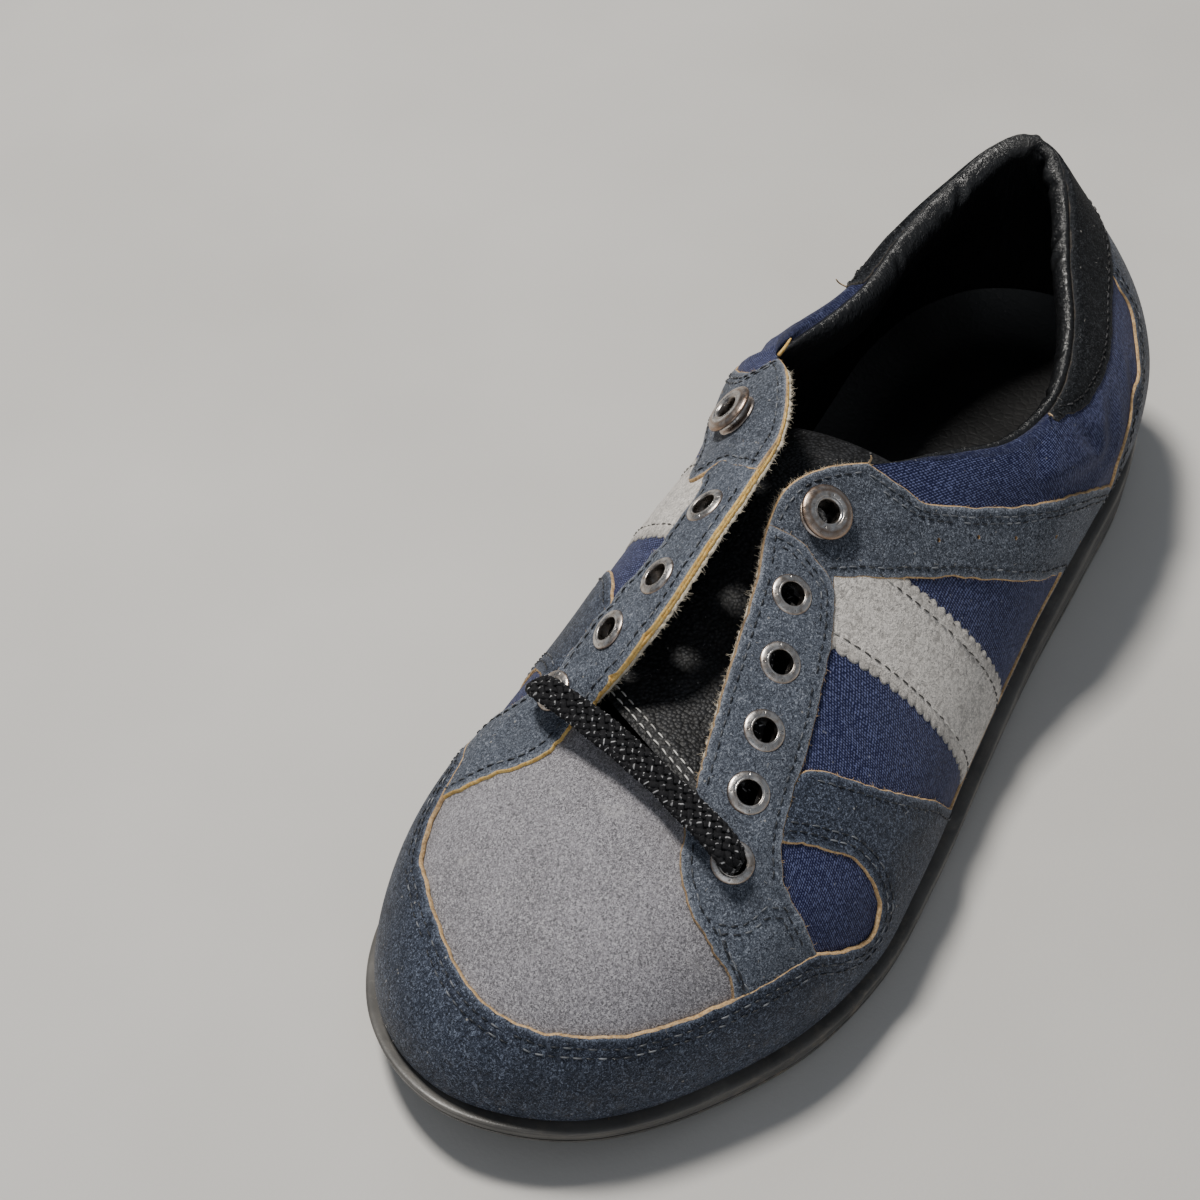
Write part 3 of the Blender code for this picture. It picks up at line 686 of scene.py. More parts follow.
def shell(along, up):
    """Point on the upper's whole skin: up the outside, over the rim and down the inside."""
    along, up = np.broadcast_arrays(np.asarray(along, float), np.asarray(up, float))
    _, _, high, top = outer_handles(along)
    roll = wall(along, np.ones_like(along)) / 2
    share = roll / (3 * np.linalg.norm(top - high, axis=-1))
    turn = np.pi * np.clip(up - 1, 0, 1)
    flat = np.where(up < 1.5, up, 3 - up)
    side = np.where(flat < 0.5, flat, 0.5 + (flat - 0.5) * (1 - 2 * share))
    over = (up > 1) & (up < 2)
    height = np.clip(np.where(over, 1 - share * (1 - np.sin(turn)), side), 0, 1)
    depth = np.where(over, roll * (1 - np.cos(turn)), np.where(up < 1.5, 0.0, wall(along, height)))
    return outside(along, height) - out_of(along, height) * depth[..., None]


def facing(along, up):
    """Direction straight out of the skin."""
    forward = shell(along + 1e-3, up) - shell(along - 1e-3, up)
    upward = shell(along, np.clip(up + 2e-3, 0, 3)) - shell(along, np.clip(up - 2e-3, 0, 3))
    normal = np.cross(forward, upward)
    return unit(normal)


def fold_heights(folds, spots):
    """Soft troughs with raised lips along the folds of a table, as heights at the spots."""
    total = np.zeros(len(spots))
    t = np.linspace(0, 1, 40)
    for row in zip(*(folds[n] for n in "along_1 up_1 along_2 up_2 bow depth width".split())):
        along_1, up_1, along_2, up_2, bow, depth, width = row
        line = shell(along_1 + (along_2 - along_1) * t, up_1 + (up_2 - up_1) * t + bow * np.sin(np.pi * t))
        middle = line.mean(0)
        reach = np.linalg.norm(line - middle, axis=1).max() + 5 * width
        near = np.linalg.norm(spots - middle, axis=1) < reach
        away = np.linalg.norm(spots[near][:, None] - line[None], axis=2)
        fade = np.sin(np.pi * t[away.argmin(1)]) ** 0.7
        away = away.min(1) / width
        total[near] += fade * depth * (0.45 * np.exp(-(((away - 1.8) / 0.85) ** 2)) - np.exp(-(away**2)))
    return total


# The eyelets and studs, by number, as places on the upper; the lining is punched under each.
OUTER_EYELETS = table(
    "number along up",
    (1, 0.119, 0.805),
    (2, 0.152, 0.84),
    (3, 0.178, 0.86),
    (4, 0.207, 0.88),
    (5, 0.231, 0.905),
)
INNER_EYELETS = table(
    "number along up",
    (1, 0.864, 0.81),
    (2, 0.824, 0.84),
    (3, 0.797, 0.895),
    (4, 0.766, 0.905),
)
OUTER_STUD = (0.265, 0.89)
INNER_STUD = (0.728, 0.83)
PUNCHED = [OUTER_STUD, INNER_STUD]
for row in (OUTER_EYELETS, INNER_EYELETS):
    PUNCHED += list(zip(row["along"], row["up"]))
HOLE_MIDDLES = np.array([outside(a, u) for a, u in PUNCHED])

along = np.arange(LINING_COLUMNS) / LINING_COLUMNS
seam_up = collar_seam(along)
# Rows lie close together on the roll and wider down the inside.
spread = np.linspace(0, 1, LINING_ROWS) ** 1.5
up = seam_up[None] + (LINING_END - seam_up[None]) * spread[:, None]
along = np.repeat(along[None], LINING_ROWS, 0)
spots = shell(along, up)
out = facing(along, up)
foamed = soft_step(foam(along), 0.5, 3.0)
past_seam = np.clip((up - seam_up[None]) / 0.5, 0, 1)
tucked = -0.9 * (1 - foamed) * (1 - soft_step(up, 1.7, 2.5))
seam_valley = -1.3 * np.exp(-((past_seam / 0.16) ** 2)) + 0.35 * np.exp(-(((past_seam - 0.4) / 0.35) ** 2))
ripple_turn = along * CHART_WIDE / RIPPLE_LENGTH
ripple_turn = ripple_turn + 1.6 * np.sin(along * 190) + 1.1 * np.sin(along * 431 + up * 5)
ripple = foamed * np.sin(2 * np.pi * ripple_turn) * np.exp(-(((past_seam - 0.45) / 0.6) ** 2))
lift = tucked + foamed * seam_valley + RIPPLE_DEEP * ripple
lift += fold_heights(LINING_FOLDS, spots.reshape(-1, 3)).reshape(lift.shape)
lining_points = (spots + out * lift[..., None]).reshape(-1, 3)
lining_faces = ring_faces(LINING_ROWS, LINING_COLUMNS)
middles = lining_points[lining_faces].mean(1)
punched = (np.linalg.norm(middles[:, None] - HOLE_MIDDLES[None], axis=2) < HOLE_RADIUS).any(1)
lining_faces = lining_faces[~punched]
lining_flat = (np.stack([along, up], -1) * LINING_FLAT).reshape(-1, 2)

black_hide = new_finish("lining_black_glossy", 0.38, 0.5, Coat_Weight=0.25, Coat_Roughness=0.28)
place = body_place()
laid = add_node("UVMap", uv_map="cut").outputs["UV"]
across = add_node("Mapping", {"Vector": laid, "Scale": (760.0, 120.0, 1.0)}).outputs["Vector"]
wrinkled = noise(across, 1.0, 4.0, 0.6, 1.2)
pores = cells(place, 1500.0)
soft_creases = noise(place, 240.0, 4.0, 0.6, 0.8)
worn = ramp(wrinkled, (0.52, 0.0), (0.74, 1.0))
tone = mixed(times(worn, 0.7), LINING_BLACK, LINING_WORN)
lint = patches(0.735, 0.76, place, 900.0, 2.0, 0.8)
tone = mixed(times(lint, 0.4), tone, (0.16, 0.155, 0.15))
gloss = ramp(noise(place, 90.0, 3.0), (0.3, 0.26), (0.7, 0.42))
lean = raised(wrinkled, 0.5)
lean = raised(soft_creases, 0.25, lean)
lean = raised(pores, 0.06, lean)
use(Base_Color=tone, Roughness=gloss, Normal=lean, Coat_Normal=lean)
lining = add_piece(
    "lining_and_collar_roll", lining_points, lining_faces, [black_hide], flat=lining_flat
)
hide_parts("upper")


# ==================== insole
# A moulded footbed covered in smooth black leather, cupped at the heel and loose inside the upper.
# Its heel seat is polished and finely crazed by wear.
INSOLE_COLUMNS = 240
INSOLE_CUP = 16.0
INSOLE_RIM = table(
    "along up",
    (0, 0.05), (0.25, 0.06), (0.35, 0.1), (0.42, 0.16), (0.5, 0.17), (0.58, 0.16), (0.65, 0.1),
    (0.75, 0.06),
)
INSOLE_TOP = table(
    "x z",
    (0, 20), (60, 19.5), (95, 17.5), (150, 13), (200, 11.3), (235, 11.6), (265, 14.5), (290, 19.5),
)
HEEL_SEAT = (52.0, -4.0)

along = np.arange(INSOLE_COLUMNS) / INSOLE_COLUMNS
rim_up = smooth(INSOLE_RIM["along"], INSOLE_RIM["up"], along, 1.0)
base = inside(along, 0.0 * along, FIT_GAP)
base[:, 2] = sole_top(base[:, 0]) + FIT_GAP
rim = inside(along, rim_up, FIT_GAP)
_, out = edge(along)
rings = [base, rim]
for inset in (0.5, 1.2, 2.4, 4.0, 6.0, 8.5, 11.0, 13.5, INSOLE_CUP):
    spots = rim[:, :2] - out * inset
    bed = smooth(INSOLE_TOP["x"], INSOLE_TOP["z"], spots[:, 0])
    left = (1 - inset / INSOLE_CUP) ** 2
    rings.append(np.column_stack([spots, bed + left * np.maximum(rim[:, 2] - bed, 0)]))
inner_line = rings[-1][:, :2]
grid = np.array([(x, y) for x in np.arange(20.0, 276.0, 4.0) for y in np.arange(-44.0, 44.0, 4.0)])
grid = grid[inside_line(grid, inner_line)]
grid = grid[nearest_on(inner_line, grid) > 2.0]
bed_spots, bed_faces = filled(inner_line, grid)
bed_points = np.column_stack([bed_spots, smooth(INSOLE_TOP["x"], INSOLE_TOP["z"], bed_spots[:, 0])])
ring_points = np.concatenate(rings)
bed_number = np.arange(len(bed_spots)) + len(ring_points) - INSOLE_COLUMNS
bed_number[:INSOLE_COLUMNS] = np.arange(INSOLE_COLUMNS) + (len(rings) - 1) * INSOLE_COLUMNS
under_face = [tuple(range(INSOLE_COLUMNS))[::-1]]
insole_faces = [*ring_faces(len(rings), INSOLE_COLUMNS), *bed_number[bed_faces], *under_face]
insole_points = np.concatenate([ring_points, bed_points[INSOLE_COLUMNS:]])

footbed = new_finish("footbed_black_leather", 0.42, 0.5, Coat_Weight=0.12, Coat_Roughness=0.36)
place = body_place()
crazed = ramp(cells(place, 420.0, feature="DISTANCE_TO_EDGE"), (0.0, 0.0), (0.22, 1.0))
strained = {"Vector": place, "Scale": (420.0, 90.0, 200.0), "Rotation": (0.0, 0.0, 0.5)}
strained = noise(add_node("Mapping", strained).outputs["Vector"], 1.0, 4.0, 0.65, 0.6)
seat_middle = tuple(to_place((*HEEL_SEAT, 20.0)))
away = add_node("VectorMath", {0: place, 1: seat_middle}, operation="DISTANCE").outputs["Value"]
polished = ramp(times(away, 22.0), (0.15, 1.0), (0.95, 0.0))
gloss = mixed(polished, 0.52, 0.32)
lint = patches(0.715, 0.75, place, 800.0, 2.0, 0.8)
tone = mixed(times(lint, 0.5), (0.006, 0.006, 0.0064), (0.13, 0.125, 0.12))
lean = raised(strained, 0.07)
lean = raised(crazed, 0.025, lean)
use(Base_Color=tone, Roughness=gloss, Normal=lean, Coat_Normal=lean)
insole = add_piece("insole_footbed", insole_points, insole_faces, [footbed], sharp=55)
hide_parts("insole")


# ==================== tongue
# Pebbled black leather over thin foam, sewn onto the vamp's top edge with two rows of white thread
# and lying loose in the throat behind it.
TONGUE_ACROSS = 48
TONGUE_STATIONS = 90
TONGUE_FRONT_X = 213.4         # of its front edge on the middle line
TONGUE_SLANT = 0.45            # how much further forward it reaches for each mm to the outer side
TONGUE = table(
    "back y z half_width crown thick slant",
    (0, -3.2, 58.6, 16, 0.2, 1.3, 1),
    (3, -3.3, 58.7, 16.2, 0.3, 1.6, 1),
    (7, -3.6, 57.8, 16.6, 0.9, 2, 1),
    (14, -4.2, 56.2, 17.5, 2, 2.6, 0.9),
    (26, -5.5, 55.4, 20, 3.4, 3.4, 0.5),
    (50, -8, 54.8, 28, 6, 5, 0),
    (75, -9, 54, 30, 7, 6, 0),
    (97, -10, 52, 30, 7, 6, 0),
    (109, -10.5, 50, 26, 6, 4, 0),
)
TONGUE_WRINKLES = ((30.0, 0.55, 2.4), (41.0, 0.4, 2.0), (58.0, 0.6, 3.0), (74.0, 0.45, 2.6))


def tongue_point(back, across, through):
    """Place on the tongue: back from its front edge, across it (-1 to 1) and through it (-1 to 1)."""
    y, z, half, crown, thick, slant = (
        smooth(TONGUE["back"], TONGUE[n], back) for n in "y z half_width crown thick slant".split()
    )
    side = y + half * across
    dents = sum(
        -depth * np.exp(-(((back - at - 5 * across) / width) ** 2)) for at, depth, width in TONGUE_WRINKLES
    )
    swell = thick / 2 * np.sqrt(np.clip(1 - across**8, 0, 1))
    height = z + crown * (1 - across**2) + through * swell + 0.5 * (1 + through) * dents
    return np.stack([TONGUE_FRONT_X + TONGUE_SLANT * slant * side - back, side, height], -1)


back = TONGUE["back"][-1] * np.linspace(0, 1, TONGUE_STATIONS)
turn = np.linspace(-np.pi / 2, np.pi / 2, TONGUE_ACROSS)
loop_across = np.concatenate([np.sin(turn), np.sin(turn)[-2:0:-1]])
loop_through = np.concatenate([np.ones(TONGUE_ACROSS), -np.ones(TONGUE_ACROSS - 2)])
loop_size = len(loop_across)
rounded = np.concatenate([[0.0, 0.6, 0.9], np.ones(TONGUE_STATIONS - 6), [0.9, 0.6, 0.0]])
tongue_rings = tongue_point(back[:, None], loop_across[None], loop_through[None] * rounded[:, None])
tongue_faces = ring_faces(TONGUE_STATIONS, loop_size)

pebbled = new_finish("tongue_pebbled_leather", 0.5, 0.28)
place = body_place()
pebbles = {"Vector": place, "Scale": 1050.0, "Randomness": 0.9}
pebbles = add_node("TexVoronoi", pebbles).outputs["Distance"]
fine = noise(place, 2600.0, 3.0)
tone = ramp(pebbles, (0.1, (0.026, 0.027, 0.03)), (0.62, (0.006, 0.006, 0.0065)))
scuffed = patches(0.48, 0.75, place, 130.0, 4.0, 0.7)
tone = mixed(times(scuffed, 0.4), tone, (0.04, 0.041, 0.046))
lint = patches(0.71, 0.74, place, 700.0, 2.0, 0.8)
tone = mixed(lint, tone, (0.22, 0.215, 0.21))
lean = raised(pebbles, -0.3)
lean = raised(fine, 0.07, lean)
lean = raised(noise(place, 170.0, 3.0), 0.6, lean)
use(Base_Color=tone, Normal=lean)
tongue_points = tongue_rings.reshape(-1, 3)
tongue = add_piece("tongue_leather_pad", tongue_points, tongue_faces, [pebbled])
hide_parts("tongue")


# ==================== quarters
# Navy crepe textile over thin foam, cut in one round each side and joined behind the heel.  It shows
# in the windows between the leather pieces and puffs up softly in them and on the collar.
QUARTER_LIFT = -0.95
CLOTH_NAVY = (0.008, 0.0105, 0.046)
# The next colour is painted sheen, given to the weave's raised threads in place of light catching them.
CLOTH_PAINTED_SHEEN = (0.116, 0.136, 0.276)
WARP_TURNS = 2 * math.pi / 0.0009
WEFT_TURNS = 2 * math.pi / 0.0012

# Folds of the outside, from wear and from the way that it is lasted.
OUTER_FOLDS = table(
    "along_1 up_1 along_2 up_2 bow depth width",
    (0.352, 1.06, 0.338, 0.8, 0.03, 0.9, 2.6),
    (0.366, 0.93, 0.372, 0.66, -0.03, 0.8, 2.4),
    (0.395, 0.78, 0.374, 0.5, 0.02, 0.9, 3),
    (0.33, 0.8, 0.384, 0.5, -0.04, 0.8, 2.6),
    (0.42, 0.64, 0.398, 0.4, 0.02, 0.6, 2.4),
    (0.306, 0.9, 0.322, 1.04, 0.02, 0.5, 2.2),
    (0.288, 0.94, 0.272, 0.7, 0.02, 0.5, 2.4),
    (0.215, 0.72, 0.206, 0.52, 0.02, 0.35, 1.8),
    (0.148, 0.6, 0.128, 0.52, 0, 0.35, 1.8),
    (0.128, 0.54, 0.11, 0.66, 0.02, 0.3, 1.6),
    (0.205, 0.36, 0.232, 0.22, 0, 0.5, 3.2),
    (0.19, 0.3, 0.214, 0.12, 0.02, 0.4, 2.6),
    (0.045, 0.93, 0.062, 0.8, 0.03, 0.35, 2.4),
    (0.94, 0.9, 0.952, 0.8, -0.02, 0.55, 2.4),
    (0.905, 0.66, 0.893, 0.86, 0.02, 0.5, 2),
    (0.845, 0.66, 0.838, 0.9, 0.02, 0.45, 1.8),
    (0.808, 0.62, 0.812, 0.96, 0.03, 0.5, 2.2),
    (0.782, 0.66, 0.783, 0.97, -0.02, 0.4, 1.8),
    (0.755, 0.88, 0.722, 0.98, 0.02, 0.4, 1.8),
    (0.69, 0.98, 0.676, 0.62, 0.03, 0.9, 2.8),
    (0.662, 1.02, 0.668, 0.7, -0.02, 0.8, 2.6),
    (0.64, 1, 0.628, 0.74, 0.03, 0.7, 2.6),
    (0.6, 0.86, 0.618, 0.48, -0.03, 0.7, 3),
    (0.8, 0.34, 0.776, 0.16, 0.02, 0.5, 3),
)

# Where the cloth puffs up: middle, radius and height.
PUFFS = table(
    "along up radius height",
    (0.156, 0.52, 10, 0.45),
    (0.162, 0.36, 9, 0.35),
    (0.212, 0.58, 13, 0.4),
    (0.3, 0.33, 14, 0.45),
    (0.318, 0.88, 12, 0.9),
    (0.35, 0.78, 13, 1.2),
    (0.385, 0.66, 12, 1),
    (0.415, 0.56, 10, 0.7),
    (0.585, 0.62, 16, 0.9),
    (0.63, 0.74, 15, 1.2),
    (0.668, 0.84, 13, 1),
    (0.79, 0.62, 13, 0.4),
    (0.845, 0.44, 10, 0.4),
)


def relief(spots):
    """Wear in the outside of the upper at the spots: folds, and where the cloth puffs up."""
    flat = spots.reshape(-1, 3)
    total = fold_heights(OUTER_FOLDS, flat)
    for along, up, radius, height in zip(*(PUFFS[n] for n in "along up radius height".split())):
        away = np.linalg.norm(flat - shell(along, up), axis=1)
        total += height * np.exp(-((away / radius) ** 2))
    return total.reshape(spots.shape[:-1])


def skin(along, up, lift=0.0):
    """Point on the worn outside, lifted off it, and the direction out of it there."""
    spots = shell(along, up)
    out = facing(along, up)
    worn = relief(spots) * (1 - soft_step(up, 1.15, 1.5)) * soft_step(up, 0.0, 0.12)
    return spots + out * (lift + worn)[..., None], out


def rounded_line(corners, step=1.1):
    """Closed line through given places (along, up), in mm of the chart; a third value keeps one sharp."""
    spots = np.array([(c[0] * CHART_WIDE, c[1] * CHART_HIGH) for c in corners])
    sharp = [len(c) > 2 for c in corners]
    ahead = np.roll(spots, -1, axis=0) - spots
    long = np.maximum(np.linalg.norm(ahead, axis=1, keepdims=True), 1e-9)
    ahead = ahead / long
    behind = np.roll(ahead, 1, axis=0)
    weight = np.roll(long, 1, axis=0)
    lean = ahead * weight + behind * long
    lean = unit(lean)
    line = []
    for i in range(len(spots)):
        j = (i + 1) % len(spots)
        start = ahead[i] if sharp[i] else lean[i]
        end = ahead[i] if sharp[j] else lean[j]
        count = max(int(round(long[i, 0] / step)), 1)
        t = (np.arange(count) / count)[:, None]
        here = (1 + 2 * t) * (1 - t) ** 2 * spots[i] + t * (1 - t) ** 2 * long[i] * start
        line.append(here + t * t * (3 - 2 * t) * spots[j] + t * t * (t - 1) * long[i] * end)
    return np.concatenate(line)


def even_grid(line, spacing, clear):
    """Even staggered places inside a closed flat line, clear of it."""
    low, high = line.min(0), line.max(0)
    rows = np.arange(low[1] + spacing / 2, high[1], spacing * 0.87)
    columns = np.arange(low[0], high[0], spacing)
    grid = np.array([(x + spacing * (i % 2) / 2, y) for i, y in enumerate(rows) for x in columns])
    grid = grid[inside_line(grid, line)]
    return grid[nearest_on(line, grid) > clear]


def chart_places(spots):
    """Places in mm of the chart as along and up."""
    return spots[:, 0] / CHART_WIDE, spots[:, 1] / CHART_HIGH


def shift_places(spots, move):
    """Chart places after a small move across the skin, given in mm in space."""
    along, up = chart_places(spots)
    up = np.clip(up, 0, 3)
    step_along, step_up = 1e-3, 4e-3
    per_along = shell(along + step_along, up) - shell(along - step_along, up)
    per_along = per_along / (2 * step_along * CHART_WIDE)
    low = np.clip(up - step_up, 0, 3)
    high = np.where(up <= 1, np.minimum(up + step_up, 1), np.minimum(up + step_up, 3))
    per_up = (shell(along, high) - shell(along, low)) / ((high - low) * CHART_HIGH)[:, None]
    aa, bb, ab = (per_along**2).sum(1), (per_up**2).sum(1), (per_along * per_up).sum(1)
    am, bm = (per_along * move).sum(1), (per_up * move).sum(1)
    share = aa * bb - ab * ab
    return spots + np.stack([(am * bb - bm * ab) / share, (bm * aa - am * ab) / share], -1)


def outward_of(line, closed=True):
    """Directions out of a flat closed line, lying in the skin, and the skin's own out directions."""
    along, up = chart_places(line)
    spots, out = shell(along, up), facing(along, up)
    if closed:
        ahead = np.roll(spots, -1, axis=0) - np.roll(spots, 1, axis=0)
    else:
        ahead = np.gradient(spots, axis=0)
    aside = np.cross(ahead, out)
    return unit(aside), out


def hole_line(along, up, radius, count=28):
    """A round hole in the skin, as a flat line in mm of the chart."""
    spot = np.array([[along * CHART_WIDE, up * CHART_HIGH]])
    out = facing(along, up)
    ahead = shell(along + 1e-3, up) - shell(along - 1e-3, up)
    ahead = ahead / np.linalg.norm(ahead)
    side = np.cross(out, ahead)
    turn = 2 * np.pi * np.arange(count) / count
    moves = radius * (np.cos(turn)[:, None] * ahead + np.sin(turn)[:, None] * side)
    return shift_places(np.repeat(spot, count, 0), moves)


def cut_piece(
    name, corners, lift, thick, finishes, spacing=2.4, holes=(), rows=(), ragged=0.1, line=None
):
    """A piece cut from sheet and laid on the skin: rounded upper edge, raw cut sides and a flat back.

    lift is the height of its face over the skin, as a number or from along and up.  holes are round
    (along, up, radius), rows are how far in from the edge its seams press it down, and the finishes
    are for the face and for the cut sides.  Returns what its stitches need.
    """
    if line is None:
        line = rounded_line(corners)
    x, y = line.T
    if (x * np.roll(y, -1) - y * np.roll(x, -1)).sum() < 0:
        line = line[::-1]
    lift_at = lift if callable(lift) else (lambda along, up: lift + 0.0 * along)
    random = np.random.default_rng(sum(map(ord, name)))
    aside, _ = outward_of(line)
    if ragged:
        waver = random.normal(0.0, ragged, len(line))
        waver = waver + np.roll(waver, 1) + 0.5 * np.roll(waver, 2)
        waver[np.abs(line[:, 1] - CHART_HIGH) < 0.01] *= 0.4
        line = shift_places(line, aside * waver[:, None])
        line[:, 1] = np.clip(line[:, 1], 0.0, 2.9 * CHART_HIGH)
    rings = [hole_line(along, up, radius) for along, up, radius in holes]
    line_in_space = shell(*chart_places(line))
    near = [even_grid(line, spacing, 0.45 * spacing)]
    for inset in (0.9, *(row + step for row in rows for step in (-0.5, 0.0, 0.5))):
        inner = shift_places(line, -aside * inset)
        inner = inner[inside_line(inner, line)]
        near.append(inner[nearest_on(line_in_space, shell(*chart_places(inner))) > 0.93 * inset])
    grid = np.concatenate(near)
    for ring, (_, _, radius) in zip(rings, holes):
        grid = grid[np.linalg.norm(grid - ring.mean(0), axis=1) > 1.25 * radius + 0.4]
    spots, triangles = filled(line, grid, rings)
    around = len(line)
    along, up = chart_places(spots)
    from_edge = nearest_on(line_in_space, shell(along, up))
    height = lift_at(along, up) - 0.9 * np.exp(-up * CHART_HIGH / 1.3)
    height -= np.minimum(0.22, thick / 3) * np.exp(-from_edge / 0.9)
    for row in rows:
        height -= 0.16 * np.exp(-(((from_edge - row) / 0.42) ** 2))
    top, out = skin(along, up, height)
    back = top - out * thick
    aside, edge_out = outward_of(line)
    steps = ((0.1, 0.05), (0.3, 0.14 * thick), (0.42, 0.4 * thick), (0.4, 0.85 * thick))
    sides = [top[:around] + aside * wide - edge_out * deep for wide, deep in steps]
    count = len(spots)
    points = np.concatenate([top, *sides, back])
    loops = [np.arange(around)] + [count + k * around + np.arange(around) for k in range(len(sides))]
    loops.append(count + len(sides) * around + np.arange(around))
    at_foot = line[:, 1] < 0.6
    walls, wall_finish = [], []
    for k, (upper, lower) in enumerate(zip(loops, loops[1:])):
        walls.append(np.stack([upper, lower, np.roll(lower, -1), np.roll(upper, -1)], -1))
        wall_finish += list(np.where(at_foot, 0, 0 if k == 0 else 1))
    first, below = around, loops[-1][0]
    for ring in rings:
        here = first + np.arange(len(ring))
        first += len(ring)
        walls.append(np.stack([here, np.roll(here, -1), np.roll(here, -1) + below, here + below], -1))
        wall_finish += [1] * len(ring)
    low = triangles[:, ::-1] + below
    faces = [*triangles, *np.concatenate(walls), *low]
    finish_of = [0] * len(triangles) + wall_finish + [1] * len(low)
    rim = np.concatenate([from_edge, *[np.zeros(around)] * len(sides), from_edge])
    flat_top = np.stack([along * CHART_WIDE, up * CHART_HIGH], -1) / 1000
    flat = np.concatenate([flat_top, *[flat_top[:around]] * len(sides), flat_top])
    piece = add_piece(name, points, faces, finishes, finish_of, flat, {"rim": rim}, sharp=62)
    made = {"piece": piece, "line": line, "lift": lift_at, "top": top, "out": out}
    return {**made, "edge": sides[1], "aside": aside}


def raw_edge_finish(name, dark, pale, worn=0.55):
    """Cut leather seen from the side: undyed, fibrous and a little dirty."""
    made = new_finish(name, 0.9, 0.2)
    place = body_place()
    fibres = noise(place, 1400.0, 3.0, 0.7)
    tone = ramp(fibres, (0.32, dark), (0.62, pale))
    soiled = patches(0.5, 0.7, place, 160.0, 4.0, 0.7)
    tone = mixed(times(soiled, worn), tone, (0.1, 0.075, 0.055))
    use(Base_Color=tone, Normal=raised(fibres, 0.25))
    return made


cloth = new_finish("quarter_navy_crepe", 0.68, 0.18, Sheen_Weight=0.05, Sheen_Roughness=0.45)
place = body_place()
laid = add_node("UVMap", uv_map="cut").outputs["UV"]
uneven = noise(laid, 260.0, 3.0, 0.6)
turned = add_node("Mapping", {"Vector": laid, "Rotation": (0.0, 0.0, 0.62)}).outputs["Vector"]
threads = add_node("SeparateXYZ", {"Vector": turned})
warp = sum_of("ADD", times(threads.outputs["X"], WARP_TURNS), times(uneven, 6.0))
weft = sum_of("ADD", times(threads.outputs["Y"], WEFT_TURNS), times(uneven, 4.0))
woven = times(sum_of("SINE", warp), sum_of("SINE", weft))
worn_nap = noise(place, 1300.0, 2.0, 0.6)
crepe = sum_of("ADD", times(woven, 0.28), worn_nap)
crepe = ramp(crepe, (0.46, 0.0), (0.76, 1.0))
# Painted sheen: where the weave stands up, the cloth is coloured pale blue as if lit.
tone = mixed(crepe, CLOTH_NAVY, CLOTH_PAINTED_SHEEN)
faded = patches(0.42, 0.75, place, 34.0, 3.0)
tone = mixed(times(faded, 0.16), tone, (0.055, 0.062, 0.115))
specks = ramp(cells(place, 260.0), (0.045, 1.0), (0.075, 0.0))
tone = mixed(times(specks, 0.55), tone, (0.3, 0.31, 0.36))
low_down = by_height(place, 40.0, (0.4, 1.0), (1.0, 0.0))
soiled = patches(0.45, 0.7, place, 240.0, 4.0, 0.7)
soiled = times(times(soiled, low_down), 0.5)
tone = mixed(soiled, tone, FLOOR_DUST)
lean = raised(crepe, 0.2)
lean = raised(noise(place, 130.0, 3.0), 0.35, lean)
use(Base_Color=tone, Normal=lean)
cut_cloth = raw_edge_finish("cut_cloth_edge", (0.02, 0.022, 0.05), (0.1, 0.1, 0.14))

# The cloth runs under the leather pieces, up to the seam of the collar roll.
QUARTERS_CUT = (
    (0.115, 0.0, 1), (0.885, 0.0, 1), (0.88, 0.55, 1), (0.85, 0.735), (0.812, 0.775), (0.795, 0.835),
    (0.765, 0.845), (0.742, 0.76), (0.724, 0.745), (0.716, 0.82), (0.713, 1.0, 1), (0.704, 1.04),
    (0.69, 1.43), (0.67, 1.5), (0.62, 1.46), (0.56, 1.36), (0.5, 1.34), (0.44, 1.36), (0.38, 1.44),
    (0.32, 1.5), (0.3, 1.4), (0.2875, 1.04), (0.284, 0.96, 1), (0.278, 0.8), (0.262, 0.81),
    (0.247, 0.845), (0.231, 0.825), (0.208, 0.8), (0.186, 0.78), (0.157, 0.755), (0.135, 0.69),
    (0.118, 0.55, 1),
)


def quarter_lift(along, up):
    """Under the leather low down; level with the skin on the collar, and rolled in at its seam."""
    foamed = soft_step(foam(along), 0.3, 2.5)
    rolled = -1.0 * np.exp(-(np.clip(collar_seam(along) - up, 0, 1) / 0.07) ** 2) * foamed
    return QUARTER_LIFT * (1 - 0.85 * foamed * soft_step(up, 0.55, 0.9)) + rolled


quarters = cut_piece(
    "quarters_navy_cloth", QUARTERS_CUT, quarter_lift, 0.6, [cloth, cut_cloth], 2.6, ragged=0.0
)


# ==================== vamp
# Pale grey nubuck over the toes, lasted first; the toe guard and the stays are sewn over its edges,
# and its top edge is left raw at the front of the throat.
VAMP_LIFT = -0.72
NUBUCK_PALE = (0.268, 0.258, 0.282)
NUBUCK_DARK = (0.195, 0.188, 0.204)
VAMP_CUT = (
    (0.874, 0.05, 1), (1.126, 0.05, 1), (1.124, 0.35), (1.12, 0.62), (1.112, 0.74), (1.104, 0.92),
    (1.11, 1.0, 1), (1.07, 1.0), (1.0, 1.0), (0.93, 1.0), (0.893, 1.0, 1), (0.899, 0.9), (0.893, 0.8),
    (0.884, 0.62), (0.876, 0.35),
)

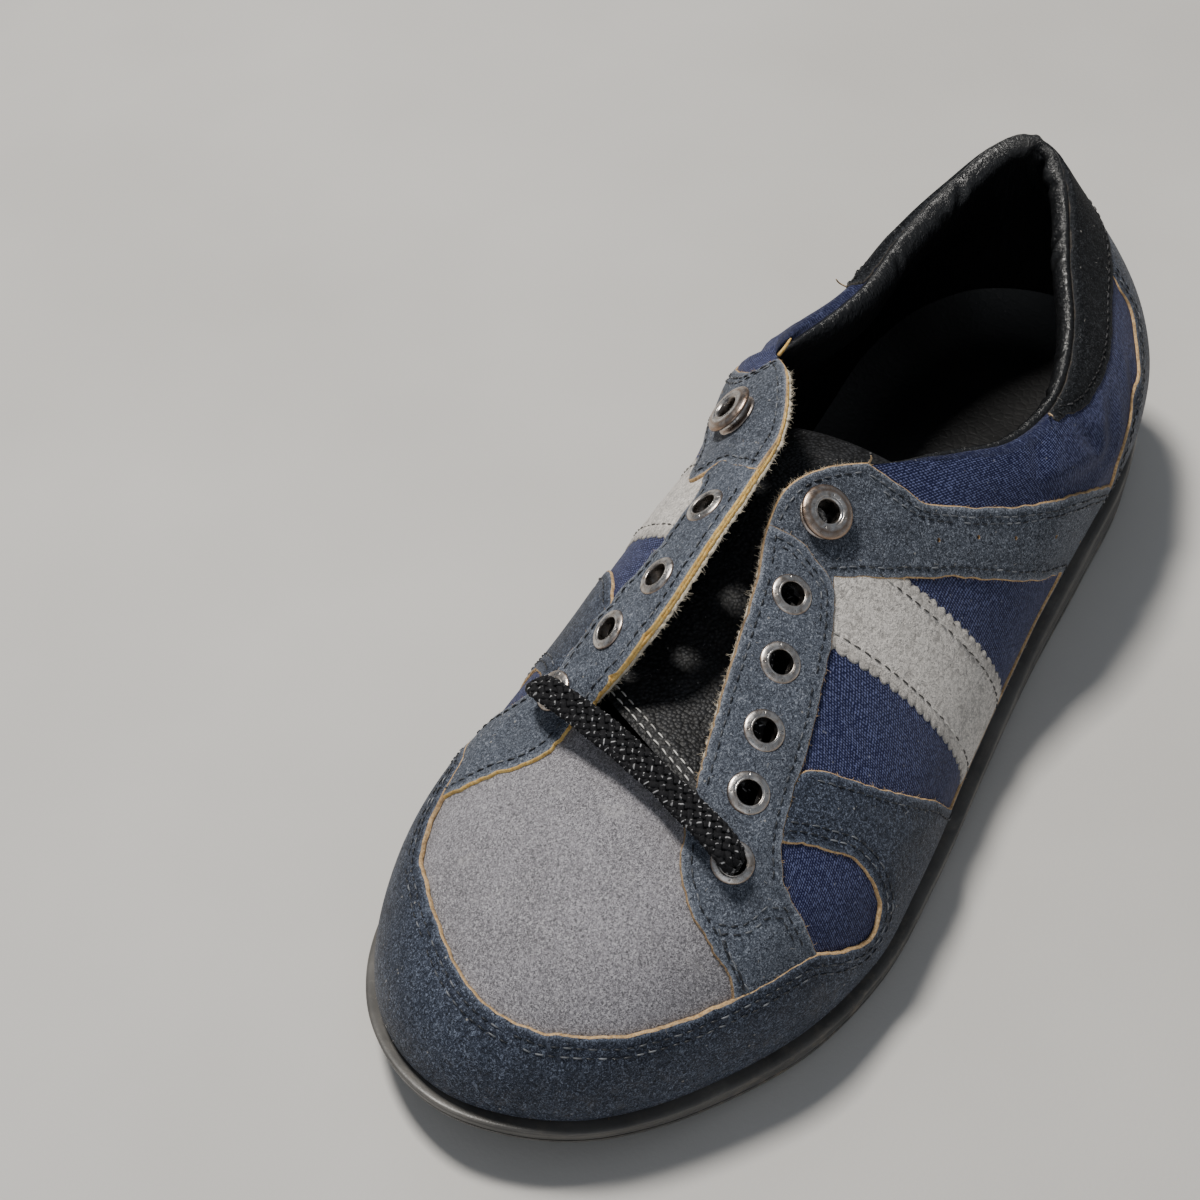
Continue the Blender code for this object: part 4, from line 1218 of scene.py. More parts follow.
nubuck = new_finish("vamp_grey_nubuck", 0.86, 0.2, Sheen_Weight=0.12, Sheen_Roughness=0.5)
place = body_place()
nap = noise(place, 2300.0, 2.0, 0.65, 1.2)
brushed = noise(place, 45.0, 3.0, 0.5, 0.6)
tone = ramp(brushed, (0.32, NUBUCK_DARK), (0.68, NUBUCK_PALE))
tone = mixed(ramp(nap, (0.4, 0.8), (0.5, 0.0)), tone, (0.07, 0.067, 0.072))
tone = mixed(ramp(nap, (0.52, 0.0), (0.64, 0.6)), tone, (0.6, 0.585, 0.605))
flecks = ramp(cells(place, 330.0), (0.05, 1.0), (0.085, 0.0))
tone = mixed(times(flecks, 0.75), tone, (0.035, 0.034, 0.036))
rubbed = patches(0.6, 0.72, place, 95.0, 5.0, 0.7, 1.5)
tone = mixed(times(rubbed, 0.28), tone, (0.5, 0.485, 0.48))
rim = point_value("rim")
soiled = patches(0.42, 0.66, place, 210.0, 4.0, 0.7)
edge_dirt = ramp(sum_of("DIVIDE", rim, 14.0), (0.25, 0.7), (0.95, 0.0))
tone = mixed(times(soiled, edge_dirt), tone, (0.15, 0.14, 0.138))
lean = raised(nap, 0.1)
lean = raised(noise(place, 620.0, 3.0), 0.12, lean)
use(Base_Color=tone, Normal=lean)
grey_edge = raw_edge_finish("cut_grey_edge", (0.2, 0.175, 0.15), (0.42, 0.38, 0.33))
vamp = cut_piece("vamp_grey_nubuck", VAMP_CUT, VAMP_LIFT, 1.0, [nubuck, grey_edge], 2.6, ragged=0.05)


# ==================== pale bands
# One broad band of pale grey split suede across each side, over the cloth and under the leather.
# Both long edges are pinked with a scalloping iron, and a seam along each holds it down.
BAND_LIFT = -0.42
BAND_WIDE = 27.0
SCALLOP = 3.2
SCALLOP_DEEP = 1.25
SUEDE_PALE = (0.76, 0.715, 0.665)
SUEDE_SHADE = (0.28, 0.265, 0.25)
BAND_ENDS = {"outer": ((0.2445, 0.845), (0.268, 0.0)), "inner": ((0.76, 0.88), (0.738, 0.0))}


def walk_aside(spots, towards, distance, steps=6):
    """Chart places after a walk across the skin in a steady direction."""
    for _ in range(steps):
        out = facing(*chart_places(spots))
        flat = towards - (towards * out).sum(1, keepdims=True) * out
        flat = unit(flat)
        spots = shift_places(spots, flat * (distance / steps)[:, None])
    return spots


def pinked_line(start, end, wide):
    """Outline of a straight band with scalloped long edges, in mm of the chart."""
    t = np.linspace(0, 1, 300)[:, None]
    spots = np.concatenate([start[0] + (end[0] - start[0]) * t, start[1] + (end[1] - start[1]) * t], 1)
    spots = spots * (CHART_WIDE, CHART_HIGH)
    places = shell(*chart_places(spots))
    travel = lengths_along(places)
    aside, _ = outward_of(spots, closed=False)
    sides = []
    for side in (1, -1):
        scallops = SCALLOP_DEEP * np.abs(np.sin(np.pi * (travel + 0.6 * side) / SCALLOP))
        moved = walk_aside(spots, side * aside, wide / 2 - SCALLOP_DEEP + scallops)
        moved[:, 1] = np.maximum(moved[:, 1], 0.0)
        sides.append(moved)
    return np.concatenate([sides[0], sides[1][::-1]])


suede = new_finish("band_pale_suede", 0.95, 0.15, Sheen_Weight=0.2, Sheen_Roughness=0.6)
place = body_place()
nap = noise(place, 1500.0, 3.0, 0.7, 1.4)
clumps = noise(place, 420.0, 3.0, 0.6, 1.4)
tone = ramp(nap, (0.37, SUEDE_SHADE), (0.57, SUEDE_PALE))
tone = mixed(ramp(clumps, (0.34, 0.7), (0.5, 0.0)), tone, (0.24, 0.225, 0.21))
rim = point_value("rim")
browned = ramp(sum_of("DIVIDE", rim, 4.0), (0.05, 0.35), (0.6, 0.0))
tone = mixed(browned, tone, (0.23, 0.205, 0.18))
lean = raised(nap, 0.22)
lean = raised(clumps, 0.45, lean)
use(Base_Color=tone, Normal=lean)
suede_edge = raw_edge_finish("band_cut_edge", (0.2, 0.19, 0.175), (0.46, 0.44, 0.41))

bands = {}
for side, (start, end) in BAND_ENDS.items():
    bands[side] = cut_piece(
        "band_pale_suede_" + side,
        None,
        BAND_LIFT,
        0.9,
        [suede, suede_edge],
        2.2,
        rows=(3.4,),
        ragged=0.06,
        line=pinked_line(start, end, BAND_WIDE),
    )


# ==================== saddles
# A slate leather piece on each side: it rises from the sole behind the band, narrows under the
# collar and ends at the throat, where it carries the press stud.  A row of pricks crosses it.
SADDLE_LIFT = -0.05
SLATE_DEEP = (0.02, 0.024, 0.034)
SLATE_FACE = (0.094, 0.11, 0.142)
SLATE_PALE = (0.33, 0.36, 0.42)
SLATE_DARK_DEEP = (0.014, 0.017, 0.024)
SLATE_DARK_FACE = (0.078, 0.091, 0.118)
CUT_TAN_DARK = (0.33, 0.195, 0.085)
CUT_TAN_PALE = (0.66, 0.46, 0.25)
SADDLE_OUTER_CUT = (
    (0.237, 0.0, 1), (0.386, 0.0, 1), (0.385, 0.13), (0.365, 0.42), (0.338, 0.669), (0.317, 0.757),
    (0.304, 0.802), (0.2975, 0.835), (0.297, 0.886), (0.2955, 0.93), (0.2935, 1.0, 1), (0.27, 1.0),
    (0.242, 1.0, 1), (0.239, 0.9), (0.238, 0.8, 1), (0.25, 0.811, 1), (0.268, 0.663), (0.292, 0.546),
    (0.319, 0.35), (0.34, 0.075), (0.333, 0.055), (0.312, 0.06), (0.265, 0.035), (0.237, 0.04, 1),
)
SADDLE_INNER_CUT = (
    (0.614, 0.0, 1), (0.763, 0.0, 1), (0.763, 0.04, 1), (0.735, 0.035), (0.688, 0.06), (0.667, 0.055),
    (0.66, 0.075), (0.681, 0.35), (0.708, 0.546), (0.732, 0.663), (0.75, 0.745), (0.753, 0.785),
    (0.751, 0.826), (0.747, 0.856), (0.749, 0.93), (0.75, 1.0, 1), (0.73, 1.0), (0.703, 1.0, 1),
    (0.7065, 0.945), (0.71, 0.87), (0.705, 0.815), (0.69, 0.76), (0.664, 0.665), (0.635, 0.42),
    (0.615, 0.13),
)


def slate_finish(name, deep, face, pale, roughness=0.66, shine=0.22):
    """Waxed slate-blue nubuck: curled nap, thin bent hairs over it, worn edges, lint and dust."""
    made = new_finish(name, roughness, shine, Sheen_Weight=shine / 4, Sheen_Roughness=0.4)
    place = body_place()
    strokes = noise(place, 950.0, 2.0, 0.55, 2.6)
    fine = noise(place, 1900.0, 2.0, 0.7, 1.6)
    nap = sum_of("ADD", times(strokes, 0.5), times(fine, 0.5))
    tone = ramp(nap, (0.39, deep), (0.53, face), (0.65, pale))
    bent = noise(place, 230.0, 2.0, 0.5, 2.4)
    hairs = ramp(bent, (0.486, 0.0), (0.5, 1.0), (0.514, 0.0))
    hairs = times(hairs, patches(0.52, 0.58, place, 340.0, 2.0))
    tone = mixed(times(hairs, 0.75), tone, pale)
    clouded = patches(0.36, 0.66, place, 42.0, 4.0, 0.6, 0.8)
    tone = mixed(times(clouded, 0.35), tone, deep)
    scuffs = patches(0.6, 0.7, place, 150.0, 5.0, 0.75, 3.0)
    tone = mixed(times(scuffs, 0.3), tone, pale)
    rim = point_value("rim")
    rubbed = ramp(sum_of("DIVIDE", rim, 3.0), (0.06, 0.5), (0.3, 0.0))
    rubbed = times(rubbed, ramp(fine, (0.4, 0.0), (0.58, 1.0)))
    tone = mixed(rubbed, tone, pale)
    specks = ramp(cells(place, 210.0), (0.04, 1.0), (0.07, 0.0))
    tone = mixed(times(specks, 0.6), tone, (0.42, 0.4, 0.37))
    low_down = by_height(place, 30.0, (0.5, 1.0), (0.95, 0.0))
    dusty = patches(0.5, 0.72, place, 260.0, 4.0, 0.7, 1.0)
    dusty = times(times(dusty, low_down), 0.15)
    tone = mixed(dusty, tone, FLOOR_DUST)
    lean = raised(nap, 0.22)
    lean = raised(hairs, 0.06, lean)
    lean = raised(noise(place, 330.0, 3.0, 0.6, 1.2), 0.3, lean)
    gloss = ramp(strokes, (0.35, roughness + 0.12), (0.65, roughness - 0.12))
    use(Base_Color=tone, Roughness=gloss, Normal=lean)
    return made


slate_dark = slate_finish("slate_leather_dark", SLATE_DARK_DEEP, SLATE_DARK_FACE, SLATE_PALE)
cut_tan = raw_edge_finish("cut_tan_edge", CUT_TAN_DARK, CUT_TAN_PALE)
PRICK_RADIUS = 0.5
SADDLE_PRICKS = ((0.292, 0.695), (0.305, 0.662), (0.317, 0.596), (0.333, 0.475), (0.356, 0.165))
pricks = [(along, up, PRICK_RADIUS) for along, up in SADDLE_PRICKS]
inner_pricks = [(1 - along, up, wide) for along, up, wide in pricks]


def inner_saddle_lift(along, up):
    """It climbs over the stay's back corner at the throat."""
    return SADDLE_LIFT + 0.75 * soft_step(along, 0.735, 0.747) * soft_step(up, 0.7, 0.8)


saddle_outer, saddle_inner = (
    cut_piece(
        "saddle_slate_" + side,
        corners,
        lift,
        1.1,
        [slate_dark, cut_tan],
        holes=[(*stud, HOLE_RADIUS), *marks],
        rows=(2.0, 3.6),
    )
    for side, corners, lift, stud, marks in (
        ("outer", SADDLE_OUTER_CUT, SADDLE_LIFT, OUTER_STUD, pricks),
        ("inner", SADDLE_INNER_CUT, inner_saddle_lift, INNER_STUD, inner_pricks),
    )
)


# ==================== eyelet stays
# The slate leather facings that carry the eyelets, cut from the throat down to the toe.  Their cut
# edges show tan, and along the throat a golden middle layer and frayed cream felt show below them.
STAY_LIFT = 0.42
STAY_OUTER_CUT = (
    (0.096, 0.33, 1), (0.137, 0.33, 1), (0.137, 0.5), (0.1385, 0.64), (0.15, 0.705), (0.164, 0.73),
    (0.186, 0.748), (0.208, 0.768), (0.231, 0.794), (0.247, 0.826), (0.2515, 0.9), (0.2505, 1.0, 1),
    (0.225, 1.0), (0.18, 1.0), (0.14, 1.0), (0.12, 0.995, 1), (0.092, 0.93), (0.064, 0.87),
    (0.058, 0.8), (0.068, 0.688), (0.078, 0.617), (0.096, 0.44),
)
STAY_INNER_CUT = (
    (0.862, 0.33, 1), (0.906, 0.33, 1), (0.914, 0.52), (0.922, 0.622), (0.928, 0.704), (0.935, 0.79),
    (0.935, 0.826), (0.929, 0.866), (0.908, 0.925), (0.893, 0.962), (0.883, 0.992, 1), (0.865, 1.0),
    (0.82, 1.0), (0.78, 1.0), (0.742, 1.0, 1), (0.74, 0.9), (0.742, 0.82, 1), (0.753, 0.835),
    (0.763, 0.852), (0.772, 0.846), (0.784, 0.832), (0.794, 0.808), (0.803, 0.775), (0.816, 0.745),
    (0.836, 0.728), (0.85, 0.705), (0.86, 0.64), (0.862, 0.5),
)


def chart_up(along, height):
    """The chart's up of a place given by its height on the plain outside."""
    _, _, high, top = outer_handles(np.asarray(along, float))
    roll = wall(np.asarray(along, float), 1.0) / 2
    share = roll / (3 * np.linalg.norm(top - high, axis=-1))
    return np.where(height < 0.5, height, 0.5 + (height - 0.5) / (1 - 2 * share))


slate = slate_finish("slate_leather", SLATE_DEEP, SLATE_FACE, SLATE_PALE)
cut_gold = raw_edge_finish("cut_golden_edge", (0.58, 0.3, 0.06), (0.9, 0.64, 0.24), 0.35)
cut_worn = raw_edge_finish("cut_worn_edge", (0.13, 0.085, 0.05), (0.44, 0.31, 0.18), 0.95)
stays = {}
for side, corners, eyelets, edge_finish in (
    ("outer", STAY_OUTER_CUT, OUTER_EYELETS, cut_worn),
    ("inner", STAY_INNER_CUT, INNER_EYELETS, cut_gold),
):
    punched = [(a, float(chart_up(a, h)), HOLE_RADIUS) for a, h in zip(eyelets["along"], eyelets["up"])]
    stays[side] = cut_piece(
        "stay_slate_" + side,
        corners,
        STAY_LIFT,
        1.3,
        [slate, edge_finish],
        2.0,
        holes=punched,
        rows=(2.0,),
    )


# ==================== toe guard
# One slate leather piece round the toe.  Each end turns up round a small window of cloth and on to
# the throat as the front band; it is sewn over the vamp and the stays' feet with two close rows.
GUARD_LIFT = 0.8
GUARD_BAND_LIFT = -0.05
GUARD_CUT = (
    (0.757, 0.0, 1), (1.243, 0.0, 1), (1.236, 0.045), (1.218, 0.27), (1.197, 0.505), (1.177, 0.725),
    (1.164, 0.775, 1), (1.144, 0.735, 1), (1.151, 0.689), (1.164, 0.56), (1.1715, 0.45),
    (1.1725, 0.365), (1.17, 0.265), (1.162, 0.215), (1.149, 0.275), (1.135, 0.375), (1.118, 0.408),
    (1.1, 0.41), (1.079, 0.38), (1.057, 0.36), (1.04, 0.355), (1.019, 0.358), (1.001, 0.38),
    (0.984, 0.418), (0.968, 0.445), (0.953, 0.452), (0.935, 0.448), (0.923, 0.47), (0.912, 0.52),
    (0.899, 0.56), (0.88, 0.5), (0.864, 0.4), (0.85, 0.28), (0.838, 0.215), (0.83, 0.265),
    (0.8275, 0.365), (0.8285, 0.45), (0.835, 0.56), (0.848, 0.68), (0.854, 0.73, 1), (0.832, 0.785, 1),
    (0.812, 0.755), (0.796, 0.68), (0.783, 0.505), (0.772, 0.27), (0.764, 0.045),
)


def guard_lift(along, up):
    """Over the stays at the toe, under them at the ends of the bands."""
    aside = np.abs(along - 1.0)
    behind = soft_step(aside, 0.132, 0.158) * soft_step(up, 0.12, 0.45)
    return GUARD_LIFT + (GUARD_BAND_LIFT - GUARD_LIFT) * np.maximum(behind, soft_step(aside, 0.165, 0.195))


TOE_DEEP = (0.006, 0.008, 0.013)
TOE_FACE = (0.033, 0.042, 0.066)
TOE_PALE = (0.2, 0.235, 0.31)
slate_toe = slate_finish("slate_leather_toe", TOE_DEEP, TOE_FACE, TOE_PALE, 0.6)
guard = cut_piece("toe_guard_slate", GUARD_CUT, guard_lift, 1.3, [slate_toe, cut_tan], rows=(2.2, 4.2))


# ==================== counter and heel tab
# A slate counter round the back of the heel, and over it a soft black suede tab that wraps the
# collar's highest part up to the roll.
COUNTER_LIFT = 0.0
TAB_LIFT = 0.55
COUNTER_CUT = (
    (0.384, 0.0, 1), (0.616, 0.0, 1), (0.615, 0.13), (0.616, 0.4), (0.602, 0.495), (0.575, 0.52),
    (0.561, 0.589), (0.559, 0.69), (0.556, 0.84, 1), (0.444, 0.84, 1), (0.441, 0.69), (0.439, 0.589),
    (0.425, 0.52), (0.398, 0.495), (0.384, 0.4), (0.385, 0.13),
)
TAB_CUT = (
    (0.364, 1.285, 1), (0.36, 1.17), (0.36, 1.06), (0.368, 0.985), (0.385, 0.905), (0.406, 0.83),
    (0.433, 0.78), (0.465, 0.76), (0.5, 0.755), (0.535, 0.76), (0.567, 0.78), (0.594, 0.83),
    (0.615, 0.905), (0.632, 0.985), (0.64, 1.06), (0.64, 1.17), (0.636, 1.31, 1), (0.6, 1.24),
    (0.56, 1.14), (0.5, 1.095), (0.44, 1.14), (0.4, 1.225),
)


def tab_lift(along, up):
    """Sewn flat along its lower edge, and rolled in with the cloth at the seam of the collar."""
    return TAB_LIFT - 1.2 * np.exp(-((np.clip(collar_seam(along) - up, 0, 1) / 0.07) ** 2))


counter = cut_piece("counter_slate", COUNTER_CUT, COUNTER_LIFT, 1.1, [slate_toe, cut_tan], rows=(2.0, 3.8))
TAB_DEEP = (0.003, 0.0035, 0.004)
TAB_FACE = (0.008, 0.009, 0.011)
TAB_PALE = (0.06, 0.064, 0.072)
tab_suede = slate_finish("heel_tab_black_suede", TAB_DEEP, TAB_FACE, TAB_PALE, 0.85, 0.1)
cut_black = raw_edge_finish("cut_black_edge", (0.012, 0.012, 0.013), (0.07, 0.065, 0.06))
tab = cut_piece("heel_tab_black_suede", TAB_CUT, tab_lift, 1.0, [tab_suede, cut_black], rows=(2.2,))


# ==================== throat edges
# Between the stays and the lining, a golden leather layer and a frayed cream felt run along the
# throat; their cut edges stand a little above the slate, most on the inner side.
THROAT_SPAN = {"outer": (0.124, 0.292), "inner": (0.704, 0.88)}
FELT_STEP = 0.5

felt = new_finish("throat_cream_felt", 0.98, 0.1, Sheen_Weight=0.4, Sheen_Roughness=0.6)
place = body_place()
fibres = noise(place, 1300.0, 4.0, 0.75, 1.5)
tone = ramp(fibres, (0.3, (0.3, 0.26, 0.19)), (0.6, (0.8, 0.72, 0.58)))
use(Base_Color=tone, Normal=raised(fibres, 0.35))


def throat_strip(name, span, outer, inner, above, ragged, finish):
    """Strip along the throat's cut edge between two depths under the skin, standing above it."""
    places = np.linspace(*span, 700)
    travel = lengths_along(shell(places, 1.0))
    count = int(travel[-1] / FELT_STEP)
    along = np.interp(np.linspace(0, travel[-1], count), travel, places)
    random = np.random.default_rng(sum(map(ord, name)))
    frayed = random.normal(0.0, ragged, count)
    frayed = frayed + 0.6 * np.roll(frayed, 1)
    lean = random.normal(0.0, ragged / 2, count)
    spots, out = skin(along, np.ones(count))
    below, _ = skin(along, np.full(count, 0.96))
    rise = spots - below
    rise = unit(rise)
    ends = np.minimum(1, np.minimum(np.arange(count), np.arange(count)[::-1]) / 8)
    height = (above + frayed) * ends
    rows = []
    profile = (
        (outer, -3.0),
        (outer, 0.6),
        (outer + 0.12, 0.92),
        ((outer + inner) / 2, 1.0),
        (inner - 0.12, 0.9),
        (inner, 0.5),
        (inner, -3.0),
    )
    for depth, level in profile:
        up_by = np.where(level < 0, level, level * height)
        rows.append(spots - out * (depth + lean * (level > 0))[:, None] + rise * up_by[:, None])
    points = np.concatenate(rows)
    faces = ring_faces(len(rows), count, around=False)
    flat = np.stack([np.tile(np.arange(count), len(rows)), np.repeat(np.arange(len(rows)), count)], -1) * 5e-4
    add_piece(name, points, faces[:, ::-1], [finish], flat=flat)
    top = len(profile) // 2
    return {"edge": rows[top], "aside": rise, "out": out}


throat_strip("throat_golden_inner", THROAT_SPAN["inner"], 0.55, 1.45, 0.55, 0.05, cut_gold)
throat_felts = [
    throat_strip("throat_felt_inner", THROAT_SPAN["inner"], 1.45, 2.25, 0.75, 0.16, felt),
    throat_strip("throat_felt_outer", THROAT_SPAN["outer"], 0.95, 1.6, 0.35, 0.1, felt),
]


# ==================== seams
# Every leather piece is sewn down with a firm blue-black thread, in lockstitch about nine to the
# inch; some stitches are painted pale, partly as frayed thread and partly as painted glints, and a
# few are lost.  The tongue's front is sewn with white thread.
PITCH = 2.7
STITCH = 2.0
STITCH_RADIUS = 0.21
STITCH_SIDES = 6
# Places along a stitch, and its height and thickness there.
STITCH_SHAPE = (
    (-0.5, -0.2, 0.35),
    (-0.34, 0.07, 0.85),
    (0.0, 0.15, 1.0),
    (0.34, 0.07, 0.85),
    (0.5, -0.2, 0.35),
)


def thread_finish(name, dark, pale):
    """Twisted thread; each stitch has a tone of its own; the paler ones are part frayed, part painted glints.
    """
    made = new_finish(name, 0.42, 0.5)
    shade = point_value("shade")
    # Painted glints: stitches towards the pale end stand in partly for light catching the thread.
    tone = ramp(shade, (0.0, dark), (0.6, dark), (1.0, pale))
    use(Base_Color=tone, Normal=raised(noise(body_place(), 2600.0, 1.0), 0.05))
    return made


def outer_net(count_along=1300, count_up=170):
    """A dense net over the outer side, to find the chart place nearest a point in space."""
    along = np.repeat(np.arange(count_along) / count_along, count_up)
    up = np.tile(np.linspace(0, 1, count_up), count_along)
    net = KDTree(len(along))
    for k, spot in enumerate(shell(along, up)):
        net.insert(spot, k)
    net.balance()
    return net, np.stack([along, up], -1)


outer_tree, outer_places = outer_net()


def seam(cut, start, end, inset):
    """Places along a cut piece's edge from one place to another, so far in from it."""
    line = cut["line"]
    size = (CHART_WIDE, CHART_HIGH)
    first = np.linalg.norm(line - np.multiply(start, size), axis=1).argmin()
    last = np.linalg.norm(line - np.multiply(end, size), axis=1).argmin()
    count = (last - first) % len(line)
    aside, _ = outward_of(line)
    chosen = (first + np.arange(count + 1)) % len(line)
    along, up = chart_places(line[chosen])
    if up.max() > 1.02:
        moved = shift_places(line[chosen], -aside[chosen] * inset)
    else:
        targets = shell(along, np.minimum(up, 1)) - aside[chosen] * inset
        found = np.array([outer_places[outer_tree.find(Vector(target))[1]] for target in targets])
        found[:, 0] += np.round(along - found[:, 0])
        moved = found * size
    for _ in range(6):
        moved[1:-1] = (moved[:-2] + 2 * moved[1:-1] + moved[2:]) / 4
    return moved


def line_on(corners, step=0.8):
    """Open line through given places (along, up), in mm of the chart."""
    spots = np.array(corners, float) * (CHART_WIDE, CHART_HIGH)
    travel = lengths_along(spots)
    fine = np.arange(0, travel[-1], step)
    return np.stack([np.interp(fine, travel, spots[:, k]) for k in range(2)], -1)


def stitch_along(points, out, random, sunk=0.0, pitch=PITCH, stitch=STITCH, radius=STITCH_RADIUS, lost=0.02):
    """Stitches along a line in space, each as its points, faces and shade."""
    travel = lengths_along(points)
    made = []

    def at(where, what):
        return np.array([np.interp(where, travel, what[:, k]) for k in range(3)])

    for k in range(int(travel[-1] / pitch)):
        if random.random() < lost:
            continue
        middle = (k + 0.5) * pitch + random.normal(0, 0.06)
        half = stitch * (1 + random.normal(0, 0.05)) / 2
        start, end = at(middle - half, points), at(middle + half, points)
        rise = at(middle, out)
        ahead = (end - start) / max(np.linalg.norm(end - start), 1e-9)
        side = np.cross(rise, ahead)
        side = side / np.linalg.norm(side)
        ahead = ahead + side * random.normal(0, 0.05)
        middle = at(middle, points) - rise * sunk
        rings = []
        for share, high, wide in STITCH_SHAPE:
            turn = np.arange(STITCH_SIDES) * np.pi / (STITCH_SIDES / 2)
            round_it = np.cos(turn)[:, None] * side + 0.8 * np.sin(turn)[:, None] * rise
            rings.append(middle + ahead * 2 * half * share + rise * high + round_it * radius * wide)
        made.append((np.concatenate(rings), random.random()))
    return made


def end_caps(rows, sides):
    """The two end faces of a tube."""
    return [list(range(sides - 1, -1, -1)), [(rows - 1) * sides + k for k in range(sides)]]


def sew(name, rows, finish, slot="upper_leather", seed=1, **how):
    """One mesh of all the stitches along rows given as (chart places, lift) or as points and directions."""
    random = np.random.default_rng(seed)
    stitches = []
    for spots, lift in rows:
        if spots.shape[1] == 2:
            along, up = chart_places(spots)
            stitches += stitch_along(*skin(along, up, lift(along, up)), random, **how)
        else:
            stitches += stitch_along(spots, lift, random, **how)
    shape = ring_faces(len(STITCH_SHAPE), STITCH_SIDES)
    caps = end_caps(len(STITCH_SHAPE), STITCH_SIDES)
    points, faces, shade = [], [], []
    for k, (spots, tint) in enumerate(stitches):
        start = k * len(STITCH_SHAPE) * STITCH_SIDES
        points.append(spots)
        faces += [*(shape + start), *[[i + start for i in cap] for cap in caps]]
        shade += [tint] * len(spots)
    return add_piece(name, np.concatenate(points), faces, [finish], values={"shade": shade})


def rows_of(cut, *spans):
    """Rows of stitches along a cut piece's edge: (start, end, inset) each."""
    return [(seam(cut, start, end, inset), cut["lift"]) for start, end, inset in spans]


dark_thread = thread_finish("thread_blue_black", (0.008, 0.01, 0.015), (0.19, 0.2, 0.22))
black_thread = thread_finish("thread_black", (0.004, 0.004, 0.005), (0.05, 0.05, 0.055))
band_thread = thread_finish("thread_band", (0.045, 0.043, 0.04), (0.62, 0.6, 0.56))
white_thread = thread_finish("thread_white", (0.62, 0.61, 0.58), (0.36, 0.35, 0.33))

# The dark seams, in sewing order: cut piece, and for each row its start, its end and its inset.
DARK_SEAMS = {
    "toe_guard": (
        guard,
        ((1.1505, 0.69), (0.848, 0.685), 2.2),
        ((1.1505, 0.69), (0.848, 0.685), 4.2),
        ((1.236, 0.05), (1.18, 0.7), 2.2),
        ((0.806, 0.73), (0.764, 0.05), 2.2),
    ),
    "stay_outer": (
        stays["outer"],
        ((0.1385, 0.64), (0.2505, 0.99), 2.0),
        ((0.231, 0.794), (0.2505, 0.985), 3.6),
        ((0.249, 1.0), (0.122, 0.997), 2.0),
        ((0.12, 0.99), (0.096, 0.43), 2.0),
    ),
    "stay_inner": (
        stays["inner"],
        ((0.753, 0.835), (0.862, 0.42), 2.0),
        ((0.908, 0.4), (0.883, 0.99), 2.0),
        ((0.88, 1.0), (0.756, 1.0), 2.0),
    ),
    "saddle_outer": (
        saddle_outer,
        ((0.385, 0.1), (0.294, 0.985), 2.0),
        ((0.385, 0.1), (0.295, 0.95), 3.6),
        ((0.2925, 1.0), (0.253, 1.0), 2.0),
        ((0.25, 0.811), (0.339, 0.085), 2.0),
    ),
    "saddle_inner": (
        saddle_inner,
        ((0.66, 0.09), (0.752, 0.78), 2.0),
        ((0.753, 0.79), (0.75, 0.99), 2.0),
        ((0.748, 1.0), (0.7045, 1.0), 2.0),
        ((0.704, 0.985), (0.615, 0.11), 2.0),
        ((0.707, 0.94), (0.615, 0.11), 3.6),
    ),
    "heel": (
        counter,
        ((0.615, 0.1), (0.558, 0.76), 2.0),
        ((0.615, 0.1), (0.558, 0.76), 3.8),
        ((0.442, 0.76), (0.385, 0.1), 2.0),
        ((0.442, 0.76), (0.385, 0.1), 3.8),
    ),
}
# The outer stay's foot is sewn with two rows of its own.
OUTER_FOOT_ROWS = (
    [(0.102, 0.42), (0.0845, 0.655), (0.124, 0.64), (0.132, 0.585), (0.1325, 0.4)],
    [(0.104, 0.42), (0.088, 0.628), (0.1215, 0.613), (0.129, 0.57), (0.1295, 0.4)],
)
for seed, (name, (cut, *spans)) in enumerate(DARK_SEAMS.items(), 1):
    rows = rows_of(cut, *spans)
    if name == "stay_outer":
        rows += [(line_on(corners), cut["lift"]) for corners in OUTER_FOOT_ROWS]
    sew("stitches_" + name, rows, dark_thread, seed=seed)
sew("stitches_heel_tab", rows_of(tab, ((0.362, 1.21), (0.638, 1.21), 2.2)), black_thread, seed=7)
band_rows = []
for side, (start, end) in BAND_ENDS.items():
    middle = line_on((start, end))
    aside, _ = outward_of(middle, closed=False)
    for way in (1, -1):
        moved = walk_aside(middle, way * aside, np.full(len(middle), BAND_WIDE / 2 - 3.6))
        band_rows.append((moved[moved[:, 1] > 2.0], bands[side]["lift"]))
sew("stitches_bands", band_rows, band_thread, seed=8, pitch=3.1, stitch=2.3)
across = np.linspace(-0.97, 0.97, 90)
level = np.ones_like(across)
tongue_rows = []
for back in (1.7, 3.7):
    row = tongue_point(back * level, across, level)
    below = tongue_point(back * level, across, -level)
    tongue_rows.append((row, (row - below) / np.linalg.norm(row - below, axis=1, keepdims=True)))
sew("stitches_tongue", tongue_rows, white_thread, "tongue_leather", 8, pitch=2.9, stitch=2.2, lost=0.0)


# ==================== eyelets and press studs
# Turned and rolled nickel-plated brass: five eyelets and a stud on the outer side, four and a stud
# on the inner side, each set through the leather with a washer behind.  The plating has browned.
EYELET_RADIUS = 4.9
BORE_RADIUS = 2.8
BARREL_RADIUS = 3.3
STUD_RADIUS = 6.5
STUD_HEIGHT = 3.6
WASHER_RADIUS = 5.2
SUNK_IN = 0.12
WASHER_GAP = 0.35
STUD_SIDES = 72
